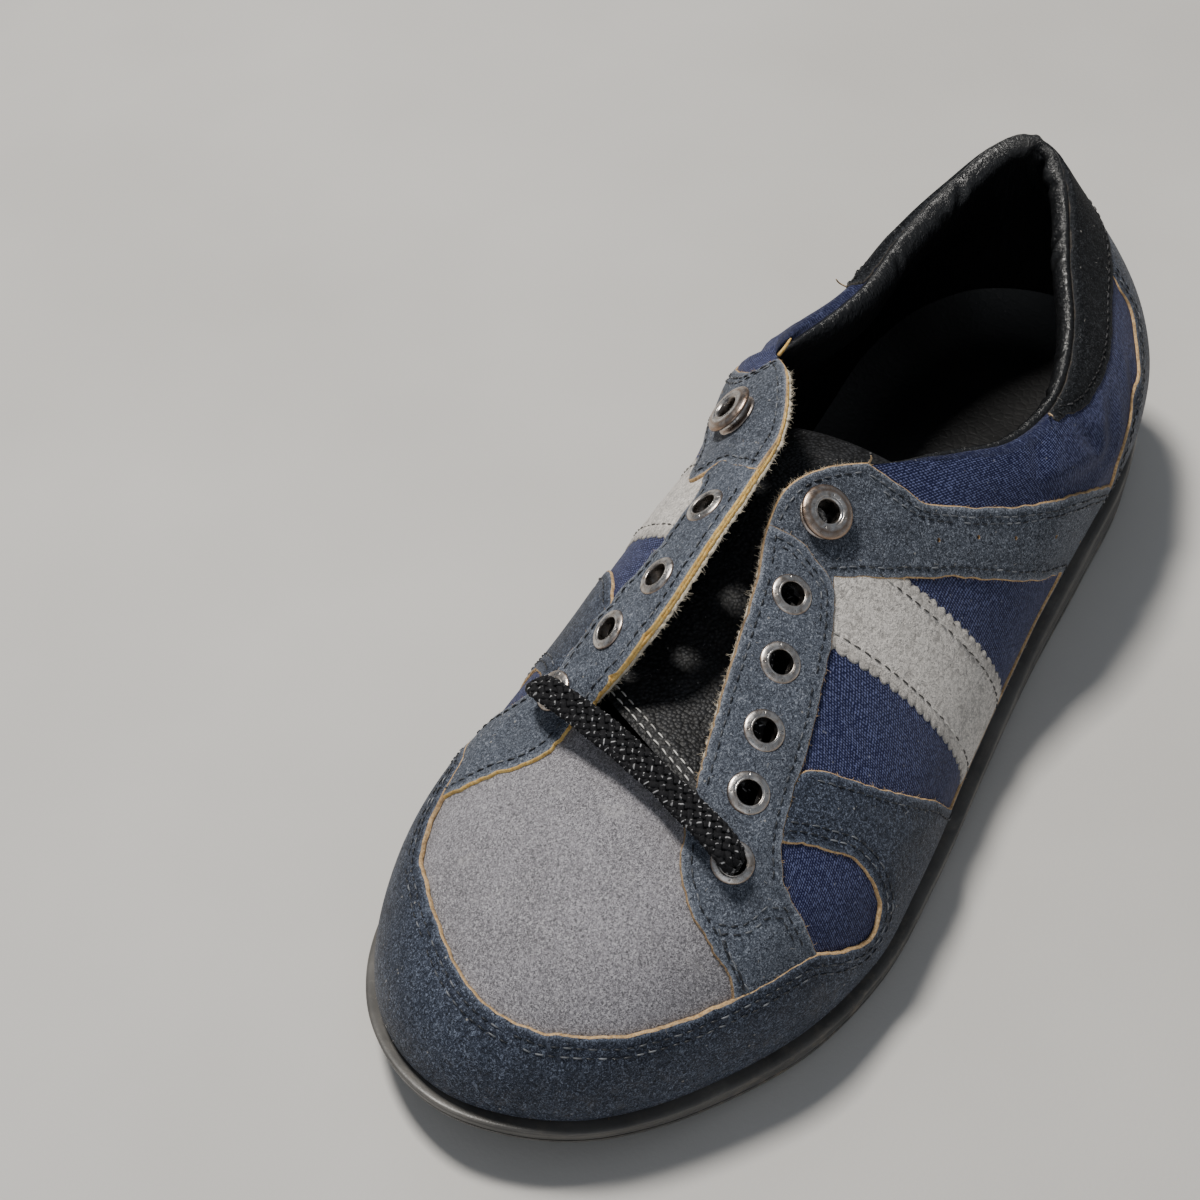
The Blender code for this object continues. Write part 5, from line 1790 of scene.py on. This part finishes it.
# Turned shapes, as steps out from a radius and up from the seat (eyelet) or from the top (stud).
EYELET_RIM = ((-0.15, -0.4), (0.0, -0.15), (-0.04, 0.1), (-0.22, 0.3), (-0.65, 0.5), (-1.1, 0.62))
EYELET_LIP = ((0.62, 0.72), (0.5, 0.66), (0.4, 0.72), (0.22, 0.7), (0.06, 0.52), (0.0, 0.2))
STUD_RIM = (
    (-0.5, -1.25), (-0.1, -1.1), (0.0, -0.85), (-0.15, -0.55), (-0.6, -0.25), (-1.3, 0.02), (-2.1, 0.16),
)
STUD_LIP = ((0.95, 0.18), (0.8, 0.06), (0.55, 0.16), (0.25, 0.1), (0.0, -0.3), (-0.2, -1.2))
TURNED_SIDES = 56


def frame_at(along, height):
    """Centre and axes (ahead, side, out) of a place on the plain outside."""
    middle, out = outside(along, height), out_of(along, height)
    ahead = outside(along + 1e-3, height) - outside(along - 1e-3, height)
    ahead = ahead - out * np.dot(ahead, out)
    ahead = ahead / np.linalg.norm(ahead)
    return middle, ahead, np.cross(out, ahead), out


def leather_heights(along, height, reach, lift_at):
    """How high the worn leather rises and how low the lining dips within reach of a place."""
    middle, ahead, side, out = frame_at(along, height)
    spot = np.array([[along * CHART_WIDE, float(chart_up(along, height)) * CHART_HIGH]])
    turn = 2 * np.pi * np.arange(24) / 24
    moves = reach * (np.cos(turn)[:, None] * ahead + np.sin(turn)[:, None] * side)
    around = shift_places(np.repeat(spot, 24, 0), moves)
    around[:, 1] = np.minimum(around[:, 1], CHART_HIGH)
    a, u = chart_places(around)
    points, _ = skin(a, u, lift_at(a, u))
    return ((points - middle) @ out).max(), ((inside(a, np.minimum(u, 0.999)) - middle) @ out).min()


def turned_piece(name, profile, frame, finish, sides=TURNED_SIDES):
    """Ring-shaped piece turned from a closed profile of (radius, height)."""
    middle, ahead, side, out = frame
    turn = 2 * np.pi * np.arange(sides) / sides
    round_it = np.cos(turn)[:, None] * ahead + np.sin(turn)[:, None] * side
    points = np.concatenate([middle + radius * round_it + high * out for radius, high in profile])
    rows = len(profile)
    faces = ring_faces(rows, sides)
    last = np.stack([np.arange(sides), np.roll(np.arange(sides), -1)], -1)
    closing = np.concatenate([last + (rows - 1) * sides, last[:, ::-1]], 1)
    radius = np.repeat([r for r, _ in profile], sides)
    angle = np.tile(turn, rows)
    values = {"radius": radius, "angle": angle}
    return add_piece(name, points, [*faces, *closing], [finish], values=values, sharp=50)


def corners_at(radius, height, *steps):
    """Corners of a turned profile, each so far out from a radius and up from a height."""
    return [(radius + out, height + up) for out, up in steps]


def washer_profile(back):
    """The washer behind the leather, and the foot of the barrel."""
    return (
        *corners_at(BORE_RADIUS, back, (0.0, -0.35), (0.25, -0.62)),
        *corners_at(WASHER_RADIUS, back, (-0.5, -0.52), (0.0, -0.25), (0.0, 0.0)),
        (BARREL_RADIUS, back),
    )


nickel = new_finish("nickel_browned", 0.3, 0.5, Metallic=1.0)
place = body_place()
radius = point_value("radius")
stained = patches(0.42, 0.66, place, 420.0, 4.0, 0.7, 1.0)
tone = mixed(stained, (0.64, 0.62, 0.6), (0.4, 0.34, 0.29))
rimmed = ramp(sum_of("DIVIDE", radius, 10.0), (0.44, 0.0), (0.49, 0.9), (0.56, 0.5), (0.63, 1.0))
tone = mixed(times(rimmed, 0.8), tone, (0.26, 0.15, 0.085))
worn_in = ramp(sum_of("DIVIDE", radius, 10.0), (0.285, 1.0), (0.31, 0.0))
tone = mixed(times(worn_in, 0.7), tone, (0.07, 0.055, 0.045))
angle = point_value("angle")
notch = sum_of("SINE", times(angle, 4.0))
notch = ramp(notch, (0.975, 0.0), (0.996, 1.0))
at_ticks = sum_of("DIVIDE", radius, 10.0)
at_ticks = ramp(at_ticks, (0.375, 0.0), (0.385, 1.0), (0.425, 1.0), (0.435, 0.0))
notch = times(notch, at_ticks)
tone = mixed(times(notch, 0.55), tone, (0.09, 0.075, 0.065))
gloss = ramp(noise(place, 700.0, 3.0), (0.35, 0.2), (0.65, 0.42))
scratches = noise(place, 1500.0, 4.0, 0.8, 3.0)
lean = raised(scratches, 0.02)
lean = raised(notch, -0.06, lean)
use(Base_Color=tone, Roughness=gloss, Normal=lean)

EYELET_SPOTS = {}
for side, part_side, eyelets in (("outer", "lateral", OUTER_EYELETS), ("inner", "medial", INNER_EYELETS)):
    for number, along, height in zip(eyelets["number"], eyelets["along"], eyelets["up"]):
        high, low = leather_heights(along, height, EYELET_RADIUS - 0.6, stays[side]["lift"])
        seat, back = high - SUNK_IN, low - WASHER_GAP
        profile = (
            *washer_profile(back),
            (BARREL_RADIUS, seat - 0.45),
            *corners_at(EYELET_RADIUS, seat, *EYELET_RIM),
            *corners_at(BORE_RADIUS, seat, *EYELET_LIP),
            (BORE_RADIUS, (seat + back) / 2),
        )
        frame_here = frame_at(along, height)
        eyelet = turned_piece(f"eyelet_{side}_{int(number)}_rolled", profile, frame_here, nickel)
        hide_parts(f"eyelet_{part_side}_{int(number)}")
        EYELET_SPOTS[side, int(number)] = frame_here[0] + frame_here[3] * seat

for side, part_side, (along, height), cut in (
    ("outer", "lateral", OUTER_STUD, saddle_outer),
    ("inner", "medial", INNER_STUD, saddle_inner),
):
    high, low = leather_heights(along, height, STUD_RADIUS - 1.4, cut["lift"])
    seat, back = high - SUNK_IN, low - WASHER_GAP
    top = seat + STUD_HEIGHT
    profile = (
        *washer_profile(back),
        (BARREL_RADIUS, seat - 0.3),
        *corners_at(STUD_RADIUS, seat, (-1.1, -0.25), (-0.9, 0.15), (-1.1, 0.5)),
        *corners_at(BARREL_RADIUS, seat, (1.1, 0.75), (0.8, 1.2)),
        *corners_at(BARREL_RADIUS, top, (0.8, -1.6), (1.1, -1.35)),
        *corners_at(STUD_RADIUS, top, *STUD_RIM),
        *corners_at(BORE_RADIUS, top, *STUD_LIP),
        (BORE_RADIUS - 0.2, seat),
    )
    stud = turned_piece(f"stud_{side}_spool", profile, frame_at(along, height), nickel, STUD_SIDES)
    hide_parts("stud_" + part_side)


# ==================== lace
# A soft flat braid of black cotton; the pale spots where its strands stand up are painted highlights.
# It crosses the throat once, goes in through the lowest eyelet on each side, and each end lies along the
# lining.
LACE_WIDE = 7.2
LACE_THICK = 3.0
LACE_IN_BORE = 4.9
LACE_STEP = 0.4
LACE_STRANDS = 8               # in each direction round the braid
LACE_TWIST = 24.0              # mm for one turn of a strand
STRAND_SIDES = 6
CORE_SIDES = 12
TIP_SIDES = 16
TIP_LENGTH = 12.0
TIP_RADIUS = 1.75
LACE = table(
    "x y z",
    (133, -31, 62.8), (150, -30, 63.2), (167, -28.6, 62.6), (182, -28.2, 61),
    (193, -29.4, 57), (200.5, -28.6, 53.4), (205.7, -27.7, 52.8), (208.6, -30, 57.1),
    (211.4, -32, 61), (213.6, -28.6, 63.8), (215, -21, 64), (217, -10, 63.2),
    (220, 3, 61.8), (223, 14, 60), (225.6, 23, 58.4), (227, 27.2, 56.2),
    (224.8, 25.8, 51.6), (223.1, 23.6, 46.4), (218.5, 20.3, 44.6), (211, 17.5, 48),
    (202, 15.8, 54.6), (192, 12, 60.4), (180, 7, 63.4), (166, 4.5, 64.3),
    (149, 3.5, 65.2),
)
LACE_INWARD_1 = 4              # rows where the lace lies inside again, past the lowest eyelets
LACE_BAR_MIDDLE = 12
LACE_INWARD_2 = 20


def line_through(corners, step):
    """Evenly spaced points of a soft line through given ones, and how far along it each corner is."""
    walked = lengths_along(corners)
    fine = np.linspace(0, walked[-1], 2000)
    line = np.stack([smooth(walked, corners[:, k], fine) for k in range(3)], -1)
    travel = lengths_along(line)
    at_corner = np.interp(walked, fine, travel)
    even = np.linspace(0, travel[-1], int(travel[-1] / step) + 1)
    return np.stack([np.interp(even, travel, line[:, k]) for k in range(3)], -1), even, at_corner


def carried_frames(line, first, up):
    """Directions across and out of a line, carried along it both ways from one of its points."""
    ahead = np.gradient(line, axis=0)
    ahead = unit(ahead)
    rise = np.zeros_like(line)
    rise[first] = up
    for order in (range(first, len(line)), range(first, -1, -1)):
        last = np.array(up, float)
        for i in order:
            last = last - ahead[i] * np.dot(last, ahead[i])
            last = last / np.linalg.norm(last)
            rise[i] = last
    return np.cross(ahead, rise), rise


def tube(line, across, rise, wide, thick, sides):
    """Points and faces of a tube with an oval section."""
    turn = 2 * np.pi * np.arange(sides) / sides
    points = line[:, None] + across[:, None] * (np.cos(turn)[:, None] * wide)
    points = points + rise[:, None] * (np.sin(turn)[:, None] * thick)
    return points.reshape(-1, 3), ring_faces(len(line), sides)


lace_corners = np.stack([LACE[n] for n in "xyz"], -1)
lace_line, lace_travel, lace_at = line_through(lace_corners, LACE_STEP)
bar_middle = np.abs(lace_travel - lace_at[LACE_BAR_MIDDLE]).argmin()
lace_across, lace_rise = carried_frames(lace_line, bar_middle, (0.0, 0.0, 1.0))
pinched = sum(
    np.exp(-((np.linalg.norm(lace_line - EYELET_SPOTS[key], axis=1) / 4.2) ** 2))
    for key in (("outer", 1), ("inner", 1))
)
lace_half = (LACE_WIDE - (LACE_WIDE - LACE_IN_BORE) * np.clip(pinched, 0, 1)) / 2
lace_waver = 1 + 0.03 * np.sin(lace_travel / 5.3) + 0.02 * np.sin(lace_travel / 2.1 + 1)
lace_half = lace_half * lace_waver


def braid(first, last):
    """The lace's strands and its dark core between two points of its line."""
    part = slice(first, last)
    travel, line = lace_travel[part], lace_line[part]
    across, rise, half = lace_across[part], lace_rise[part], lace_half[part]
    half_thick = np.full_like(half, LACE_THICK / 2) * (1 + 0.12 * (half < 2.9))
    points, faces, hump = [], [], []
    count = 0
    for way in (1, -1):
        for k in range(LACE_STRANDS):
            turn = way * 2 * np.pi * travel / LACE_TWIST + 2 * np.pi * k / LACE_STRANDS
            over = way * np.cos(LACE_STRANDS * turn)
            # Flattened section: its corners are squarer than an ellipse's.
            wide, tall = np.cos(turn), np.sin(turn)
            square = (np.abs(wide) ** 2.8 + np.abs(tall) ** 2.8) ** (-1 / 2.8)
            wide, tall = wide * square, tall * square
            spine = line + across * ((half - 0.55) * wide)[:, None]
            spine = spine + rise * ((half_thick - 0.42) * tall)[:, None]
            away = across * (wide * half_thick)[:, None] + rise * (tall * half)[:, None]
            away = unit(away)
            spine = spine + away * (0.3 * over + 0.05)[:, None]
            ahead = np.gradient(spine, axis=0)
            side = np.cross(away, ahead)
            side = unit(side)
            found, shape = tube(spine, side, away, 0.78, 0.36, STRAND_SIDES)
            points.append(found)
            faces.append(shape + count)
            hump.append(np.repeat(over, STRAND_SIDES))
            count += len(found)
    core_half, core_thick = (half - 0.62)[:, None, None], (half_thick - 0.5)[:, None, None]
    core, shape = tube(line, across, rise, core_half, core_thick, CORE_SIDES)
    points.append(core)
    faces.append(shape + count)
    hump.append(np.full(len(core), -1.0))
    return np.concatenate(points), np.concatenate(faces), np.concatenate(hump)


cotton = new_finish("lace_black_cotton", 0.8, 0.12)
place = body_place()
hump = point_value("hump")
fibre = noise(place, 2600.0, 3.0, 0.7)
tone = ramp(fibre, (0.3, (0.005, 0.005, 0.006)), (0.7, (0.02, 0.02, 0.022)))
# Painted highlights: pale spots on the tops of the strands stand in for glints of light on the yarn.
lace_glint = patches(0.5, 0.56, place, 800.0, 2.0, 0.6)
lace_glint = times(lace_glint, ramp(hump, (0.88, 0.0), (0.97, 0.9)))
tone = mixed(lace_glint, tone, (0.5, 0.5, 0.51))
use(Base_Color=tone, Normal=raised(fibre, 0.1))

inward_1 = np.abs(lace_travel - lace_at[LACE_INWARD_1]).argmin()
inward_2 = np.abs(lace_travel - lace_at[LACE_INWARD_2]).argmin()
points, faces, hump_at = braid(inward_1, inward_2 + 1)
lace_bar = add_piece("lace_braid_across", points, faces, [cotton], values={"hump": hump_at})
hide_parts("lace_bar")

tipped = new_finish("lace_tip_black", 0.25, 0.5)
tone = ramp(noise(body_place(), 500.0, 3.0), (0.4, (0.008, 0.008, 0.009)), (0.7, (0.03, 0.03, 0.032)))
use(Base_Color=tone, Normal=raised(noise(body_place(), 900.0, 2.0), 0.04))

tip_steps = int(TIP_LENGTH / LACE_STEP)
for side, part_side, first, last, tip_slice in (
    ("inner", "medial", 0, inward_1 + 1, slice(0, tip_steps)),
    ("outer", "lateral", inward_2, len(lace_line), slice(len(lace_line) - tip_steps, len(lace_line))),
):
    # Wound tight into its tip, the braid's last stretch is round and thin.
    lace_half[tip_slice] = TIP_RADIUS - 0.1
    points, faces, hump_at = braid(first, last)
    values = {"hump": hump_at}
    end = add_piece(f"lace_braid_end_{side}", points, faces, [cotton], values=values)
    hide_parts("lace_end_" + part_side)
    line, across, rise = (lace_line[tip_slice], lace_across[tip_slice], lace_rise[tip_slice])
    found, shape = tube(line, across, rise, TIP_RADIUS + 0.15, TIP_RADIUS + 0.15, TIP_SIDES)
    caps = end_caps(len(line), TIP_SIDES)
    tip = add_piece(f"lace_tip_{side}", found, [*shape, *caps], [tipped], sharp=50)


# ==================== frayed fibres and lint
# What long wear leaves: cut leather and felt edges fray into short hairs, thread ends stand up at
# the collar's corners, and pale lint clings to the nap.
FIBRE_SIDES = 3
LOOSE_STEPS = 14
LOOSE_SIDES = 8


def fibres_from(roots, away, along, random, long, radius, curl):
    """Short curved hairs from the roots, each leaning between two directions."""
    count = len(roots)
    length = long[0] + (long[1] - long[0]) * random.random(count) ** 2
    heading = away + along * random.normal(0, 0.9, (count, 1)) + random.normal(0, 0.35, (count, 3))
    heading = unit(heading)
    bend = np.cross(heading, random.normal(0, 1, (count, 3)))
    bend = unit(bend) * curl
    points = []
    steps = np.linspace(0, 1, 5)
    side = np.cross(heading, bend)
    side = unit(side)
    flat_bend = unit(bend)
    for t in steps:
        middle = roots + (heading * t + bend * t * t) * length[:, None]
        for k in range(FIBRE_SIDES):
            turn = 2 * np.pi * k / FIBRE_SIDES
            points.append(middle + (np.cos(turn) * side + np.sin(turn) * flat_bend) * radius * (1 - 0.6 * t))
    points = np.stack(points, 1)
    shape = ring_faces(len(steps), FIBRE_SIDES)
    starts = np.arange(count) * len(steps) * FIBRE_SIDES
    faces = (starts[:, None, None] + shape[None]).reshape(-1, 4)
    return points.reshape(-1, 3), faces


def add_fray(name, edges, per_mm, finish, long, radius, seed, curl=0.5):
    """Hairs all along some cut edges, as one mesh."""
    random = np.random.default_rng(seed)
    points, faces, count = [], [], 0
    for cut in edges:
        ring = cut["edge"]
        reach = np.linalg.norm(np.diff(ring, axis=0), axis=1).sum()
        chosen = random.integers(0, len(ring) - 1, int(reach * per_mm))
        share = random.random((len(chosen), 1))
        roots = ring[chosen] * (1 - share) + ring[chosen + 1] * share
        along = ring[chosen + 1] - ring[chosen]
        along = unit(along)
        found, shape = fibres_from(roots, cut["aside"][chosen], along, random, long, radius, curl)
        points.append(found)
        faces.append(shape + count)
        count += len(found)
    return add_piece(name, np.concatenate(points), np.concatenate(faces), [finish])


def hair_finish(name, colour):
    """Loose fibres of one colour."""
    made = new_finish(name, 0.95, 0.1)
    shaded = tuple(0.55 * c for c in colour)
    tone = ramp(noise(body_place(), 900.0, 2.0), (0.3, shaded), (0.7, colour))
    use(Base_Color=tone, Normal=raised(noise(body_place(), 3000.0, 1.0), 0.02))
    return made


tan_hair = hair_finish("hair_tan", (0.62, 0.45, 0.27))
cream_hair = hair_finish("hair_cream", (0.8, 0.72, 0.58))
grey_hair = hair_finish("hair_pale_grey", (0.52, 0.5, 0.47))
add_fray(
    "fray_cut_leather",
    [guard, stays["outer"], stays["inner"], saddle_outer, saddle_inner, counter],
    0.75,
    tan_hair,
    (0.25, 1.1),
    0.055,
    11,
)
add_fray("fray_felt", throat_felts, 6.0, cream_hair, (0.2, 1.3), 0.055, 12, 0.9)
add_fray("fray_bands", list(bands.values()), 1.0, grey_hair, (0.2, 0.7), 0.05, 13)

LINT_COUNTS = (
    (guard, 110),
    (stays["outer"], 60),
    (stays["inner"], 60),
    (saddle_outer, 60),
    (saddle_inner, 50),
    (quarters, 80),
    (counter, 50),
    (tab, 50),
    (vamp, 25),
)
random = np.random.default_rng(14)
lint_roots, lint_away, lint_along = [], [], []
for cut, count in LINT_COUNTS:
    chosen = random.integers(0, len(cut["top"]), count)
    lint_roots.append(cut["top"][chosen] + cut["out"][chosen] * 0.05)
    lint_away.append(cut["out"][chosen] * 0.18)
    flat = np.cross(cut["out"][chosen], random.normal(0, 1, (count, 3)))
    lint_along.append(unit(flat))
roots, away, along = (np.concatenate(part) for part in (lint_roots, lint_away, lint_along))
points, faces = fibres_from(roots, away, along, random, (0.3, 1.3), 0.05, 0.6)
add_piece("lint", points, faces, [grey_hair])

# Loose ends, one by one: where each starts on the skin, which way it goes, its length and thickness.
LOOSE_ENDS = (
    ("collar_inner", 0.7015, 1.1, (-0.85, 0.3, 0.45), 4.2, 0.62, cut_gold),
    ("tab_outer", 0.359, 1.2, (0.6, 0.3, 0.45), 3.2, 0.32, tan_hair),
    ("tab_inner", 0.642, 1.15, (0.55, -0.45, 0.6), 3.6, 0.32, tan_hair),
    ("saddle_outer", 0.2935, 1.02, (-0.2, 0.1, 0.95), 2.2, 0.26, tan_hair),
)
for name, along, up, heading, long, radius, finish in LOOSE_ENDS:
    root, out = skin(along, up, 0.2)
    t = np.linspace(0, 1, LOOSE_STEPS)[:, None]
    heading = np.array(heading) / np.linalg.norm(heading)
    sway = np.cross(heading, out)
    line = root + heading * long * t + out * 0.25 * long * np.sin(2.2 * t)
    line = line + sway * 0.18 * long * np.sin(4 * t)
    across, rise = carried_frames(line, 0, out)
    thin = radius * (1 - 0.5 * t[:, :, None] ** 2)
    points, faces = tube(line, across, rise, thin, thin * 0.7, LOOSE_SIDES)
    caps = end_caps(LOOSE_STEPS, LOOSE_SIDES)
    add_piece("loose_end_" + name, points, [*faces, *caps], [finish])
